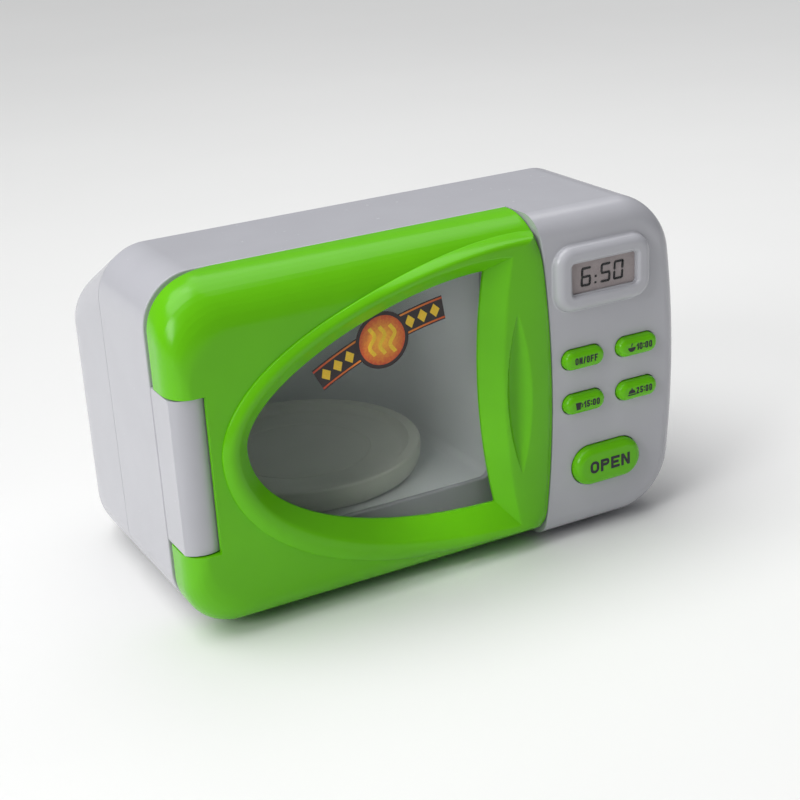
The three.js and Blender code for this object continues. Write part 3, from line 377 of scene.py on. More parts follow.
def baked(made, name):
    """The object's finished shape as a plain mesh. The object goes."""
    graph = bpy.context.evaluated_depsgraph_get()
    mesh = bpy.data.meshes.new_from_object(made.evaluated_get(graph), depsgraph=graph)
    mesh.name = name
    old = made.data
    bpy.data.objects.remove(made)
    if old.users == 0 and isinstance(old, bpy.types.Mesh):
        bpy.data.meshes.remove(old)
    return mesh


def carve(name, base, *steps):
    """Joins ("UNION") and cuts ("DIFFERENCE") closed forms in turn, into one closed mesh."""
    made = linked(name, mesh_of(name, base))
    tools = []
    for i, (operation, form) in enumerate(steps):
        tool = linked(f"{name}_tool_{i}", mesh_of(f"{name}_tool_{i}", form))
        tools.append(tool)
        modifier = made.modifiers.new(f"step_{i}", "BOOLEAN")
        modifier.operation = operation
        modifier.solver = "MANIFOLD"
        modifier.object = tool
    mesh = baked(made, name)
    for tool in tools:
        data = tool.data
        bpy.data.objects.remove(tool)
        bpy.data.meshes.remove(data)
    open_edges = cleaned(mesh)
    if open_edges:
        print(f"{name}: {open_edges} edges are open")
    return mesh


def cut(form):
    return ("DIFFERENCE", form)


def add(form):
    return ("UNION", form)


def piece(name, mesh, finish, body, replaces=(), crease=32.0):
    """Puts a finished mesh in the scene, smooth up to an angle, on the body that carries it."""
    made = linked(name, mesh)
    mesh.materials.clear()
    mesh.materials.append(finish_named(finish))
    mesh.shade_smooth()
    mesh.set_sharp_from_angle(angle=math.radians(crease))
    weights = made.modifiers.new("even_faces", "WEIGHTED_NORMAL")
    weights.keep_sharp = True
    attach(made, body)
    if replaces:
        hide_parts(*replaces)
    return made


# Node trees


def plug(tree, made, inputs):
    """Links or sets inputs of a node."""
    for key, value in inputs.items():
        if isinstance(value, bpy.types.NodeSocket):
            tree.links.new(value, made.inputs[key])
        else:
            made.inputs[key].default_value = value
    return made


def node(tree, kind, inputs=None, **settings):
    made = tree.nodes.new(kind)
    for key, value in settings.items():
        setattr(made, key, value)
    return plug(tree, made, inputs or {})


def new_material(name):
    """A material, its tree, and the place on the object that its patterns follow."""
    made = bpy.data.materials.new(name)
    made.use_nodes = True
    return made, made.node_tree, node(made.node_tree, "ShaderNodeTexCoord").outputs["Object"]


def shaded(made, inputs):
    """Links or sets the inputs of a material's own shader."""
    plug(made.node_tree, made.node_tree.nodes["Principled BSDF"], inputs)
    return made


def maths(tree, operation, first, second=0.0):
    return node(tree, "ShaderNodeMath", {0: first, 1: second}, operation=operation).outputs[0]


def mapped(tree, place, **inputs):
    return node(tree, "ShaderNodeMapping", {"Vector": place, **inputs}).outputs["Vector"]


def noise(tree, place, scale, detail=3.0, rough=0.55):
    return node(tree, "ShaderNodeTexNoise", {
        "Vector": place, "Scale": scale, "Detail": detail, "Roughness": rough}).outputs["Fac"]


def dotted(tree, place, scale):
    return node(tree, "ShaderNodeTexVoronoi", {"Vector": place, "Scale": scale}).outputs["Distance"]


def relief(tree, strength, distance, height):
    return node(tree, "ShaderNodeBump", {
        "Strength": strength, "Distance": distance, "Height": height}).outputs["Normal"]


def spread(tree, value, low, high, start=0.3, end=0.7):
    """Maps the middle of a noise to a range."""
    return node(tree, "ShaderNodeMapRange", {
        "Value": value, "From Min": start, "From Max": end, "To Min": low, "To Max": high,
    }).outputs["Result"]


def blend_colours(tree, share, first, second):
    first, second = (c if isinstance(c, bpy.types.NodeSocket) else (*c, 1.0) for c in (first, second))
    return node(tree, "ShaderNodeMix", {0: share, 6: first, 7: second}, data_type="RGBA").outputs[2]


def shade(base, factor):
    return tuple(min(channel * factor, 1.0) for channel in base)


def tones(tree, value, base, low, high):
    """A colour that a noise makes darker and lighter."""
    return blend_colours(tree, spread(tree, value, 0.0, 1.0), shade(base, low), shade(base, high))


def moulded(name, base, rough=0.3, grain=0.05, cloud=0.05, bump=0.04, coat=0.0, glow=0.0, shine=0.5):
    """Moulded plastic: faint flow clouds in the colour, a grain in the gloss, fine scuffs."""
    made, tree, place = new_material(name)
    clouds = noise(tree, place, 32.0, 2.0)
    fine = noise(tree, place, 1500.0, 2.0)
    scuffs = noise(tree, mapped(tree, place, Scale=(260.0, 260.0, 2600.0)), 1.0, 4.0, 0.7)
    under_skin = {"Subsurface Weight": glow, "Subsurface Radius": (0.4, 1.0, 0.2), "Subsurface Scale": 0.0025}
    return shaded(made, {
        "Base Color": tones(tree, clouds, base, 1 - cloud, 1 + cloud),
        "Roughness": maths(tree, "ADD", spread(tree, fine, rough - grain, rough + grain),
                           spread(tree, scuffs, 0.0, 0.05, 0.62, 0.80)),
        "Normal": relief(tree, bump, 0.0002, fine),
        "Specular IOR Level": shine, "Coat Weight": coat, "Coat Roughness": 0.12,
        **(under_skin if glow else {})})


def clear(name, tint, alpha, rough):
    """Clear plastic with a faint tint, hairlines and a slight haze."""
    made, tree, place = new_material(name)
    haze = noise(tree, place, 26.0, 3.0)
    drawn = mapped(tree, place, Rotation=(0.0, 0.5, 0.0), Scale=(40.0, 40.0, 2600.0))
    hairs = noise(tree, drawn, 1.0, 3.0, 0.6)
    return shaded(made, {
        "Base Color": tones(tree, haze, tint, 0.9, 1.12),
        "Roughness": spread(tree, hairs, rough, rough + 0.04, 0.60, 0.80),
        "Alpha": spread(tree, haze, alpha * 0.9, alpha * 1.15),
        "IOR": 1.49, "Coat Weight": 0.35, "Coat Roughness": 0.03})


def printed(name, base, mottle=0.12, rough=0.42):
    """Printed ink with a faint screen of dots and an uneven lay."""
    made, tree, place = new_material(name)
    dots = spread(tree, dotted(tree, place, 2600.0), 0.0, 1.0, 0.1, 0.6)
    lay = noise(tree, place, 420.0, 3.0)
    ground = blend_colours(tree, dots, shade(base, 1 + mottle), shade(base, 1 - mottle))
    return shaded(made, {
        "Base Color": blend_colours(tree, spread(tree, lay, 0.0, 0.5), ground, shade(base, 0.8)),
        "Roughness": spread(tree, lay, rough - 0.06, rough + 0.10)})


def warm_print(name, inner, outer, centre, radius):
    """Ink that runs from one colour at a centre to another at a radius, with a soft grain."""
    made, tree, place = new_material(name)
    moved = mapped(tree, place, Location=tuple(-c / radius for c in centre), Scale=(1 / radius,) * 3)
    reach = node(tree, "ShaderNodeTexGradient", {"Vector": moved}, gradient_type="SPHERICAL").outputs["Fac"]
    grain = noise(tree, place, 900.0, 2.0)
    uneven = maths(tree, "ADD", reach, spread(tree, grain, -0.10, 0.10))
    return shaded(made, {
        "Base Color": blend_colours(tree, uneven, outer, inner),
        "Roughness": spread(tree, grain, 0.36, 0.50)})


def metal(name, base, rough=0.28, along=(60.0, 60.0, 1400.0)):
    """Plated steel with drawn streaks and a few dull specks."""
    made, tree, place = new_material(name)
    streaks = noise(tree, mapped(tree, place, Scale=along), 1.0, 4.0)
    specks = noise(tree, place, 800.0, 2.0)
    return shaded(made, {
        "Base Color": tones(tree, streaks, base, 0.86, 1.08),
        "Roughness": spread(tree, specks, rough - 0.08, rough + 0.12),
        "Normal": relief(tree, 0.1, 0.0001, streaks), "Metallic": 1.0})


def circuit(name):
    """Solder mask over a net of tracks, with pale pads."""
    made, tree, place = new_material(name)
    tracks = node(tree, "ShaderNodeTexBrick", {
        "Vector": mapped(tree, place, Rotation=(QUARTER, 0, 0)), "Scale": 160.0, "Mortar Size": 0.06,
        "Color1": (0.03, 0.16, 0.04, 1), "Color2": (0.04, 0.19, 0.05, 1), "Mortar": (0.08, 0.30, 0.09, 1)})
    pads = spread(tree, dotted(tree, place, 260.0), 1.0, 0.0, 0.10, 0.14)
    return shaded(made, {
        "Base Color": blend_colours(tree, pads, tracks.outputs["Color"], (0.62, 0.58, 0.45)),
        "Roughness": spread(tree, noise(tree, place, 700.0), 0.25, 0.45)})


def cell_wrap(name):
    """The printed sleeve of a dry cell: a dark blue body with a brass-coloured end."""
    made, tree, place = new_material(name)
    height = node(tree, "ShaderNodeSeparateXYZ", {"Vector": place}).outputs["Z"]
    grain = noise(tree, place, 600.0)
    band = spread(tree, height, 0.0, 1.0, 0.0515, 0.0517)
    blue = blend_colours(tree, spread(tree, grain, 0.0, 1.0), (0.02, 0.05, 0.16), (0.03, 0.07, 0.20))
    return shaded(made, {
        "Base Color": blend_colours(tree, band, blue, (0.55, 0.36, 0.12)),
        "Roughness": spread(tree, grain, 0.28, 0.42), "Metallic": 0.4})


MATERIALS = {}


def finish_named(key):
    """Makes each finish once, from the colours in the scene's properties."""
    if key in MATERIALS:
        return MATERIALS[key]
    f, pane_y = bpy.context.scene.toy_finishes, FACE_Y + pane_face()
    makers = {
        "shell": lambda: moulded("cool_white_casing", f.shell, 0.25, 0.015, 0.02, 0.008,
                                 coat=0.15, shine=0.4),
        "liner": lambda: moulded("pale_oven_lining", f.liner, 0.42, 0.05, 0.03, 0.05),
        "lime": lambda: moulded("lime_door_plastic", f.lime, 0.24, 0.015, 0.04, 0.008,
                                coat=0.08, glow=0.04, shine=0.22),
        "plate": lambda: moulded("turntable_plastic", f.plate, 0.42, 0.06, 0.04, 0.05),
        "pane": lambda: clear("clear_window_pane", f.pane, 0.11, 0.05),
        "lens": lambda: clear("clear_display_cover", f.ink, 0.05, 0.05),
        "card": lambda: printed("display_card_print", f.card, 0.04, 0.5),
        "ink": lambda: printed("dark_key_print", f.ink, 0.3, 0.5),
        "digit": lambda: printed("dark_display_print", f.ink, 0.2, 0.45),
        "print_dark": lambda: printed("window_print_ground", f.print_dark, 0.25, 0.4),
        "print_light": lambda: printed("window_print_light", f.print_light, 0.12, 0.4),
        "warm_band": lambda: warm_print("window_print_warm_band", (0.80, 0.30, 0.02), (0.55, 0.05, 0.01),
                                        (ROUNDEL_X, pane_y, 0.118), 0.034),
        "glow": lambda: warm_print("window_print_glow", (0.90, 0.45, 0.03), (0.50, 0.03, 0.01),
                                   (ROUNDEL_X, pane_y, ROUNDEL_Z), 0.012),
        "dark": lambda: moulded("dark_inner_plastic", (0.03, 0.032, 0.035), 0.5, 0.08, 0.1, 0.08),
        "nylon": lambda: moulded("natural_nylon", (0.62, 0.58, 0.48), 0.48, 0.06, 0.04, 0.05),
        "silicone": lambda: moulded("grey_silicone", (0.25, 0.27, 0.28), 0.62, 0.06, 0.04, 0.06),
        "foot": lambda: moulded("soft_foot_rubber", f.foot, 0.66, 0.08, 0.05, 0.12),
        "steel": lambda: metal("plated_steel", (0.62, 0.63, 0.65)),
        "can": lambda: metal("drawn_motor_can", (0.55, 0.56, 0.58), 0.34, (1400.0, 60.0, 60.0)),
        "board": lambda: circuit("green_circuit_board"),
        "cell": lambda: cell_wrap("dry_cell_sleeve"),
    }
    MATERIALS[key] = makers[key]()
    return MATERIALS[key]


# Shapes that repeat, as geometry node trees


def new_tree(name, sockets):
    """A tree with a geometry input, named inputs for its sizes, a material input and a geometry output."""
    tree = bpy.data.node_groups.new(name, "GeometryNodeTree")
    tree.interface.new_socket("Geometry", in_out="INPUT", socket_type="NodeSocketGeometry")
    for label, kind in sockets:
        tree.interface.new_socket(label, in_out="INPUT", socket_type=f"NodeSocket{kind}")
    tree.interface.new_socket("Material", in_out="INPUT", socket_type="NodeSocketMaterial")
    tree.interface.new_socket("Geometry", in_out="OUTPUT", socket_type="NodeSocketGeometry")
    given = tree.nodes.new("NodeGroupInput").outputs
    return tree, given


def end_tree(tree, given, geometry):
    real = node(tree, "GeometryNodeRealizeInstances", {"Geometry": geometry})
    painted = node(tree, "GeometryNodeSetMaterial", {
        "Geometry": real.outputs[0], "Material": given["Material"]})
    tree.links.new(painted.outputs[0], tree.nodes.new("NodeGroupOutput").inputs["Geometry"])
    return tree


def vector(tree, x, y, z):
    return node(tree, "ShaderNodeCombineXYZ", {"X": x, "Y": y, "Z": z}).outputs[0]


def set_on(tree, given, points, shape, **turn):
    """Sets a shape on points, moves the row to the tree's centre if it has one, and ends the tree."""
    placed = node(tree, "GeometryNodeInstanceOnPoints", {
        "Points": points, "Instance": shape, **turn}).outputs[0]
    if "Centre" in given:
        placed = node(tree, "GeometryNodeTransform", {
            "Geometry": placed, "Translation": given["Centre"]}).outputs[0]
    return end_tree(tree, given, placed)


def scatter_tree():
    """Sets one shape on each point of a mesh, each turned by its own amount about an axis."""
    tree, given = new_tree("set_on_points", [
        ("Shape", "Object"), ("Turn", "Float"), ("Axis", "Vector"), ("Seed", "Int")])
    shape = node(tree, "GeometryNodeObjectInfo", {"Object": given["Shape"]}).outputs["Geometry"]
    turn = node(tree, "FunctionNodeRandomValue", {
        "Min": 0.0, "Max": given["Turn"], "Seed": given["Seed"]}, data_type="FLOAT")
    amount = next(s for s in turn.outputs if s.enabled)
    spin = node(tree, "FunctionNodeAxisAngleToRotation", {"Axis": given["Axis"], "Angle": amount}).outputs[0]
    points = node(tree, "GeometryNodeMeshToPoints", {"Mesh": given["Geometry"]}).outputs[0]
    return set_on(tree, given, points, shape, Rotation=spin)


def bars_tree():
    """A column of rounded bars. Inside a round of the given radius they shorten with their height."""
    tree, given = new_tree("bar_column", [
        ("Count", "Int"), ("Pitch", "Float"), ("Length", "Float"), ("Thickness", "Float"),
        ("Depth", "Float"), ("Round radius", "Float"), ("Centre", "Vector")])
    path = node(tree, "GeometryNodeCurvePrimitiveLine", {
        "End": vector(tree, 0.0, given["Depth"], 0.0)})
    outline = node(tree, "GeometryNodeCurvePrimitiveQuadrilateral", {
        "Width": given["Length"], "Height": given["Thickness"]})
    soft = node(tree, "GeometryNodeFilletCurve", {
        "Curve": outline.outputs[0], "Count": 8, "Radius": maths(tree, "MULTIPLY", given["Thickness"], 0.49),
    }, mode="POLY")
    bar = node(tree, "GeometryNodeCurveToMesh", {
        "Curve": path.outputs[0], "Profile Curve": soft.outputs[0], "Fill Caps": True})
    index = node(tree, "GeometryNodeInputIndex").outputs[0]
    last = maths(tree, "SUBTRACT", given["Count"], 1.0)
    offset = maths(tree, "SUBTRACT", index, maths(tree, "MULTIPLY", last, 0.5))
    rise = maths(tree, "MULTIPLY", offset, given["Pitch"])
    share = maths(tree, "DIVIDE", rise, given["Round radius"])
    reach = maths(tree, "SQRT", maths(tree, "SUBTRACT", 1.0, maths(tree, "MULTIPLY", share, share)))
    points = node(tree, "GeometryNodePoints", {
        "Count": given["Count"], "Position": vector(tree, 0.0, 0.0, rise)}).outputs[0]
    return set_on(tree, given, points, bar.outputs[0], Scale=vector(tree, reach, 1.0, 1.0))


def coil_tree():
    """A coil of wire along X."""
    tree, given = new_tree("wire_coil", [
        ("Turns", "Float"), ("Radius", "Float"), ("Wire", "Float"), ("Length", "Float"),
        ("Centre", "Vector")])
    spiral = node(tree, "GeometryNodeCurveSpiral", {
        "Resolution": 32, "Rotations": given["Turns"], "Start Radius": given["Radius"],
        "End Radius": given["Radius"], "Height": given["Length"]})
    ring = node(tree, "GeometryNodeCurvePrimitiveCircle", {"Resolution": 12, "Radius": given["Wire"]})
    wire = node(tree, "GeometryNodeCurveToMesh", {
        "Curve": spiral.outputs[0], "Profile Curve": ring.outputs[0], "Fill Caps": True})
    laid = node(tree, "GeometryNodeTransform", {
        "Geometry": wire.outputs[0], "Translation": given["Centre"], "Rotation": (0.0, QUARTER, 0.0)})
    return end_tree(tree, given, laid.outputs[0])


def motif_tree():
    """Sets one shape along an arc, turned to follow it."""
    tree, given = new_tree("motifs_on_arc", [
        ("Shape", "Object"), ("Count", "Int"), ("Radius", "Float"), ("Start", "Float"), ("Sweep", "Float"),
        ("Centre", "Vector")])
    shape = node(tree, "GeometryNodeObjectInfo", {"Object": given["Shape"]}).outputs["Geometry"]
    index = node(tree, "GeometryNodeInputIndex").outputs[0]
    share = maths(tree, "DIVIDE", index, maths(tree, "SUBTRACT", given["Count"], 1.0))
    turn = maths(tree, "ADD", given["Start"], maths(tree, "MULTIPLY", share, given["Sweep"]))
    x, z = (maths(tree, "MULTIPLY", given["Radius"], maths(tree, kind, turn)) for kind in ("COSINE", "SINE"))
    points = node(tree, "GeometryNodePoints", {
        "Count": given["Count"], "Position": vector(tree, x, 0.0, z)}).outputs[0]
    facing = maths(tree, "SUBTRACT", QUARTER, turn)
    spin = node(tree, "FunctionNodeAxisAngleToRotation", {"Axis": (0.0, 1.0, 0.0), "Angle": facing})
    return set_on(tree, given, points, shape, Rotation=spin.outputs[0])


def grown(name, tree, finish, values, points=()):
    """Runs a tree on a few points, and gives its result as a plain mesh."""
    seed = bpy.data.meshes.new(name)
    seed.from_pydata([tuple(p) for p in points], [], [])
    made = linked(name, seed)
    modifier = made.modifiers.new("shape", "NODES")
    modifier.node_group = tree
    sockets = {s.name: s.identifier for s in tree.interface.items_tree if s.in_out == "INPUT"}
    for label, value in {**values, "Material": finish_named(finish)}.items():
        modifier[sockets[label]] = value
    bpy.context.view_layer.update()
    return baked(made, name)


# Casing


def top_fall(c, depth):
    slope = (TOP - BOTTOM - c.back_height) / (c.body_depth - c.fall_start)
    return max(depth - c.fall_start, 0.0) * slope


def from_middle(z):
    """Height from the middle, as a share of half the height."""
    return (z - MIDDLE) / HALF_HEIGHT


def bowed(c, x, z):
    """The right side bows out like the door's edge, so that the panel narrows to its corners."""
    seam = LEFT + bpy.context.scene.toy_door.width
    reach = from_middle(z)
    return x - c.side_bow * max(x - seam, 0.0) / (RIGHT - seam) * reach * reach, z


def casing_loop(c, depth, inset=0.0):
    from_back = c.body_depth - inset - depth
    front = round_inset(c.panel_edge - inset, depth - inset)
    back = round_inset(c.back_corner - inset, from_back)
    side = inset + max(front, back)
    front_head = round_inset(c.panel_top_round - inset, depth - inset)
    head = inset + max(front_head, round_inset(c.back_edge - inset, from_back)) + top_fall(c, depth)
    foot = inset + max(front, round_inset(c.under_edge - inset, from_back))
    corner = inset + front + back * 0.6
    right = max(c.right_corner - corner, c.panel_edge - inset)
    left = max(c.left_corner - corner, c.panel_edge - inset)
    loop = rounded_loop(LEFT + side, RIGHT - side, BOTTOM + foot, TOP - head, [right, right, left, left])
    (x, low), (_, high) = loop[CORNER_STEPS:CORNER_STEPS + 2]
    side_points = [(x, z) for z in between(low, high, BOW_STEPS + 1)[1:-1]]
    return [bowed(c, *p) for p in loop[:CORNER_STEPS + 1] + side_points + loop[CORNER_STEPS + 1:]]


def door_edge(z):
    d = bpy.context.scene.toy_door
    reach = from_middle(z)
    return LEFT + d.width - d.bow * reach * reach


def apart(depths, gap):
    """Leaves out each depth that all but meets the next."""
    return [a for a, b in zip(depths, [*depths[1:], depths[-1] + 1.0]) if b - a > gap]


def front_stops(c, inset=0.0):
    """Depths that follow both rounds of the panel's edge."""
    stops = [*round_stops(c.panel_edge - inset, 16), *round_stops(c.panel_top_round - inset, 22)]
    return apart(sorted(stop + inset for stop in stops), 4e-5)


def panel_block(c, pocket):
    """The panel's own block, rounded to the sides and with a small lip beside the door."""
    depths = sorted({*front_stops(c), *round_stops(c.lip, SMALL_STEPS), pocket + c.wall / 2})
    rings = []
    for depth in depths:
        right_side = casing_loop(c, depth)[:2 * (CORNER_STEPS + 1) + BOW_STEPS]
        base, head = right_side[0][1], right_side[-1][1]
        draw = c.running + round_inset(c.lip, depth)
        rings.append((depth, right_side + [(door_edge(z) + draw, z) for z in between(head, base)]))
    return loft(rings)


def casing_band(c, pocket):
    """The sides, top and underside from the door pocket back to the seam."""
    stops = [pocket + stop for stop in round_stops(c.lip, SMALL_STEPS)]
    rings = []
    for depth in [*stops, c.fall_start, c.seam_depth]:
        draw = round_inset(c.lip, depth - pocket)
        centre_x = (LEFT + RIGHT) / 2
        across, up = 1 - draw / ((RIGHT - LEFT) / 2), 1 - draw / HALF_HEIGHT
        rings.append((depth, [(centre_x + (x - centre_x) * across, MIDDLE + (z - MIDDLE) * up)
                              for x, z in casing_loop(c, depth)]))
    return loft(rings)


def pocket_outline(c, grow):
    edge = [(door_edge(z) + c.running + grow, z) for z in between(BOTTOM, TOP)]
    return ([(LEFT - OVERRUN, BOTTOM - OVERRUN), (edge[0][0], BOTTOM - OVERRUN)] + edge
            + [(edge[-1][0], TOP + OVERRUN), (LEFT - OVERRUN, TOP + OVERRUN)])


def flared(loop_at, depth, lip, end):
    """A cutter for an opening in a flat face, with a rounded mouth. loop_at gives its outline grown."""
    mouth = [(depth + stop, loop_at(round_inset(lip, stop))) for stop in round_stops(lip, SMALL_STEPS)]
    return loft([(depth - OVERRUN, loop_at(lip)), *mouth, (end, loop_at(0.0))])


def centre_of(name):
    """The centre of a solid: across, back and up."""
    return [(low + high) / 2 for low, high in zip(*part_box(name))]


def middle_of(name):
    """Where a solid's middle is, across and up."""
    x, _, z = centre_of(name)
    return x, z


CARD_X, CARD_Z = middle_of("display_card")
LENS_X, LENS_Z = CARD_X + 0.0007, CARD_Z - 0.0003
OPEN_X, OPEN_Z = middle_of("open_button")
DISPLAY_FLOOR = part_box("display_card")[1].y + 0.0003 - FACE_Y
COVER_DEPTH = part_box("display_lens")[0].y - FACE_Y
COVER_THICKNESS = 0.0004
CARD_DEPTH = COVER_DEPTH + COVER_THICKNESS + 0.0003
KEYS = {key: (solid, f"{key}_key", *middle_of(solid)) for key, solid in (
    ("on_off", "on_off_button"), ("timer_10", "timer_button_10"),
    ("timer_15", "timer_button_15"), ("timer_25", "timer_button_25"))}
LATCH_LOW, LATCH_HIGH = OPEN_Z - LATCH_HALF, OPEN_Z + LATCH_HALF
SCREWS = [middle_of(f"housing_screw_{i}") for i in (1, 2, 3, 4)]
FEET = [(x, depth) for depth in FOOT_DEPTHS for x in (LEFT + FOOT_INSET, RIGHT - FOOT_INSET)]


def bezel(p):
    """The proud frame of the display, rounded outside and with a fillet where it meets the panel."""
    def outline(inset):
        return centred_loop(LENS_X, LENS_Z, p.bezel_width, p.bezel_height, p.bezel_corner, inset)
    soft, fillet = p.bezel_edge, 0.0009
    edge = [(stop - BEZEL_PROUD, outline(round_inset(soft, stop))) for stop in round_stops(soft)]
    foot = [(-stop, outline(-round_inset(fillet, stop)))
            for stop in reversed(round_stops(fillet, SMALL_STEPS))]
    return loft([*edge, *foot, (0.001, outline(-fillet))])


def display_recess(p):
    def outline(grow):
        return centred_loop(LENS_X, LENS_Z, p.display_width + 2 * grow, p.display_height + 2 * grow,
                            DISPLAY_CORNER + grow)
    draft, soft = 0.0006, p.bezel_lip
    rim = [(stop - BEZEL_PROUD, outline(draft + round_inset(soft, stop))) for stop in round_stops(soft, 10)]
    return loft([(-BEZEL_PROUD - OVERRUN, outline(draft + soft)), *rim,
                 (COVER_DEPTH - 0.0002, outline(0.0)), (DISPLAY_FLOOR, outline(0.0))])


def display_sheet(p, start, end):
    """The clear cover or the printed card."""
    return slab(centred_loop(LENS_X, LENS_Z, p.display_width, p.display_height, DISPLAY_CORNER, TINY, 8),
                start, end)


def key_mouths(c, p):
    def mouth(x, z, width, height):
        def outline(grow):
            around = 2 * (c.seat + grow)
            return centred_loop(x, z, width + around, height + around, height)
        return flared(outline, 0.0, c.lip / 2, c.wall + OVERRUN)
    small = [mouth(x, z, p.key_width, p.key_height) for _, _, x, z in KEYS.values()]
    return together(mouth(OPEN_X, OPEN_Z, p.open_width, p.open_height), *small)


def inner_supports(c, pocket):
    """Posts for the board and the casing screws, and the guides of the latch."""
    low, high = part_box("control_board")
    inset, start = 0.004, c.wall / 2
    places = ((low.x + inset, high.z - inset), (high.x - inset, high.z - inset),
              (middle_of("control_board")[0], low.z + inset))
    posts = [disc(x, z, 0.003, start, low.y - FACE_Y - c.seat) for x, z in places]
    shelf_x = door_edge(OPEN_Z) + c.running + LATCH_START
    shelves = [block(shelf_x, shelf_x + 0.004, start, LATCH_BACK, z, z + c.wall)
               for z in (LATCH_HIGH + c.seat, LATCH_LOW - c.seat - c.wall)]
    stop_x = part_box("latch_spring")[1].x + c.seat
    stop = block(stop_x, stop_x + c.wall, start, LATCH_BACK, LATCH_LOW, LATCH_HIGH)
    screws = [disc(x, z, 0.004, pocket + start if x < 0 else start, c.seam_depth) for x, z in SCREWS]
    return together(*posts, *shelves, stop, *screws)


def at_screws(radius, start, end):
    """A round bar at each casing screw."""
    return together(*(disc(x, z, radius, start, end) for x, z in SCREWS))


def foot_holes(c):
    return together(*(post(x, depth, FOOT_PEG + c.seat, BOTTOM - OVERRUN, BOTTOM + c.wall + OVERRUN / 2)
                      for x, depth in FEET))


def oven_corners(grow=0.0):
    """The oven's corner radii, from the lower right one anticlockwise. The floor's are tighter."""
    return [0.004 + grow, 0.014 + grow, 0.014 + grow, 0.004 + grow]


def oven_ceiling(depth):
    fall = top_fall(bpy.context.scene.toy_casing, depth)
    return min(OVEN_FLOOR + OVEN_HEIGHT, TOP - fall - OVEN_HEADROOM)


def oven_loop(depth, grow=0.0, draw=0.0, head=0.0):
    """The oven's outline at a depth, grown by a wall and drawn in at the sides and the top."""
    return rounded_loop(OVEN_LOW - grow + draw, OVEN_HIGH + grow - draw, OVEN_FLOOR - grow,
                        oven_ceiling(depth) + grow - head, oven_corners(grow))


def front_housing_mesh(c, d, p):
    pocket = d.depth + c.running
    bulkhead = pocket + c.wall
    depths = [*front_stops(c, c.wall), c.fall_start, c.seam_depth + OVERRUN]
    inside = loft([(depth, casing_loop(c, depth, c.wall)) for depth in depths])
    kept = slab(pocket_outline(c, c.wall), -OVERRUN, bulkhead)
    hollow = form_of(carve("hollow", inside, cut(kept)))
    mouth = flared(lambda grow: oven_loop(bulkhead, grow), pocket, c.lip, bulkhead + c.wall / 2)
    catch = door_edge(OPEN_Z) - CATCH_INSET
    slot = block(catch - c.running - c.seat, catch + SLOT_WIDTH + c.running, pocket - OVERRUN,
                 bulkhead + c.wall / 2, LATCH_LOW - c.running, LATCH_HIGH + c.running)
    pilots = at_screws(SCREW_PILOT + c.seat, 0.067, c.seam_depth + OVERRUN)
    return carve(
        "front_casing", panel_block(c, pocket), add(casing_band(c, pocket)), cut(hollow), add(bezel(p)),
        add(inner_supports(c, pocket)), cut(display_recess(p)), cut(mouth), cut(slot), cut(key_mouths(c, p)),
        cut(pilots), cut(foot_holes(c)))


def rear_housing_mesh(c):
    start, end = c.seam_depth + c.seat, c.body_depth
    inner_back = end - c.wall

    def shell(inset, first):
        stops = [end - inset - stop for stop in (
            *round_stops(c.back_corner - inset, 16), *round_stops(c.back_edge - inset, 8))]
        depths = sorted({round(depth, 6) for depth in [first, *stops]})
        return loft([(depth, casing_loop(c, depth, inset)) for depth in depths])

    outside = shell(0.0, start)
    tubes = form_of(carve("tubes", at_screws(SCREW_TUBE, start, end), ("INTERSECT", outside)))
    wells = at_screws(SCREW_WELL, c.seam_depth + 0.005, end + OVERRUN)
    holes = at_screws(SCREW_HOLE, c.seam_depth, end)
    x, z = middle_of("speaker")
    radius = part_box("speaker")[1].x - x
    thick, tall = 0.0016, 0.005
    ring = disc(x, z, radius + c.seat + thick, inner_back - tall, inner_back + c.wall / 2, 48)
    bore = disc(x, z, radius + c.seat, inner_back - tall - OVERRUN, inner_back, 48)
    collar = form_of(carve("collar", ring, cut(bore)))
    reach = radius - c.wall
    slots = grown("slots", bars_tree(), "shell", {
        "Count": c.grille_count, "Pitch": c.grille_pitch, "Length": 2 * reach, "Thickness": c.grille_width,
        "Depth": c.wall + OVERRUN, "Round radius": reach,
        "Centre": (x, FACE_Y + inner_back - OVERRUN / 2, z)})
    low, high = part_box("battery_cover")
    opening = rectangle(low.x - c.seat, high.x + c.seat, low.z - c.seat, high.z + c.seat)
    bay = flared(lambda _: opening, inner_back, c.lip, end + OVERRUN)
    return carve("rear_casing", outside, cut(shell(c.wall, start - OVERRUN)), add(tubes), add(collar),
                 cut(bay), cut(form_of(slots)), cut(wells), cut(holes), cut(foot_holes(c)))


def oven_liner_mesh(c, d):
    start = d.depth + c.running + c.wall + c.seat
    back = start + OVEN_DEPTH
    back_corner, corner, wall, flange_height = 0.048, 0.014, 0.002, 0.006

    def ring(depth, grow):
        draw = round_inset(back_corner + grow, back + grow - depth)
        return oven_loop(depth, grow, draw, round_inset(corner + grow, back + grow - depth) / 2)

    def form(grow, first):
        stops = [back + grow - stop for stop in round_stops(back_corner + grow, 16)]
        return loft([(depth, ring(depth, grow)) for depth in sorted([first, c.fall_start, *stops])])

    flange_out = slab(rounded_loop(
        OVEN_LOW - wall, OVEN_HIGH + wall, OVEN_FLOOR - flange_height, oven_ceiling(start) + flange_height,
        oven_corners(wall)), start, start + wall)
    flange_in = slab(oven_loop(start), start - OVERRUN, start + OVERRUN)
    flange = form_of(carve("flange", flange_out, cut(flange_in)))
    shaft = post(*turntable_centre(), 0.0035, BOTTOM, OVEN_FLOOR + OVERRUN, 40)
    return carve("oven_lining", form(wall, start), cut(form(0.0, start - OVERRUN)), add(flange), cut(shaft))


def turntable_centre():
    x, y, _ = centre_of("turntable_plate")
    return x, y - FACE_Y


# Door

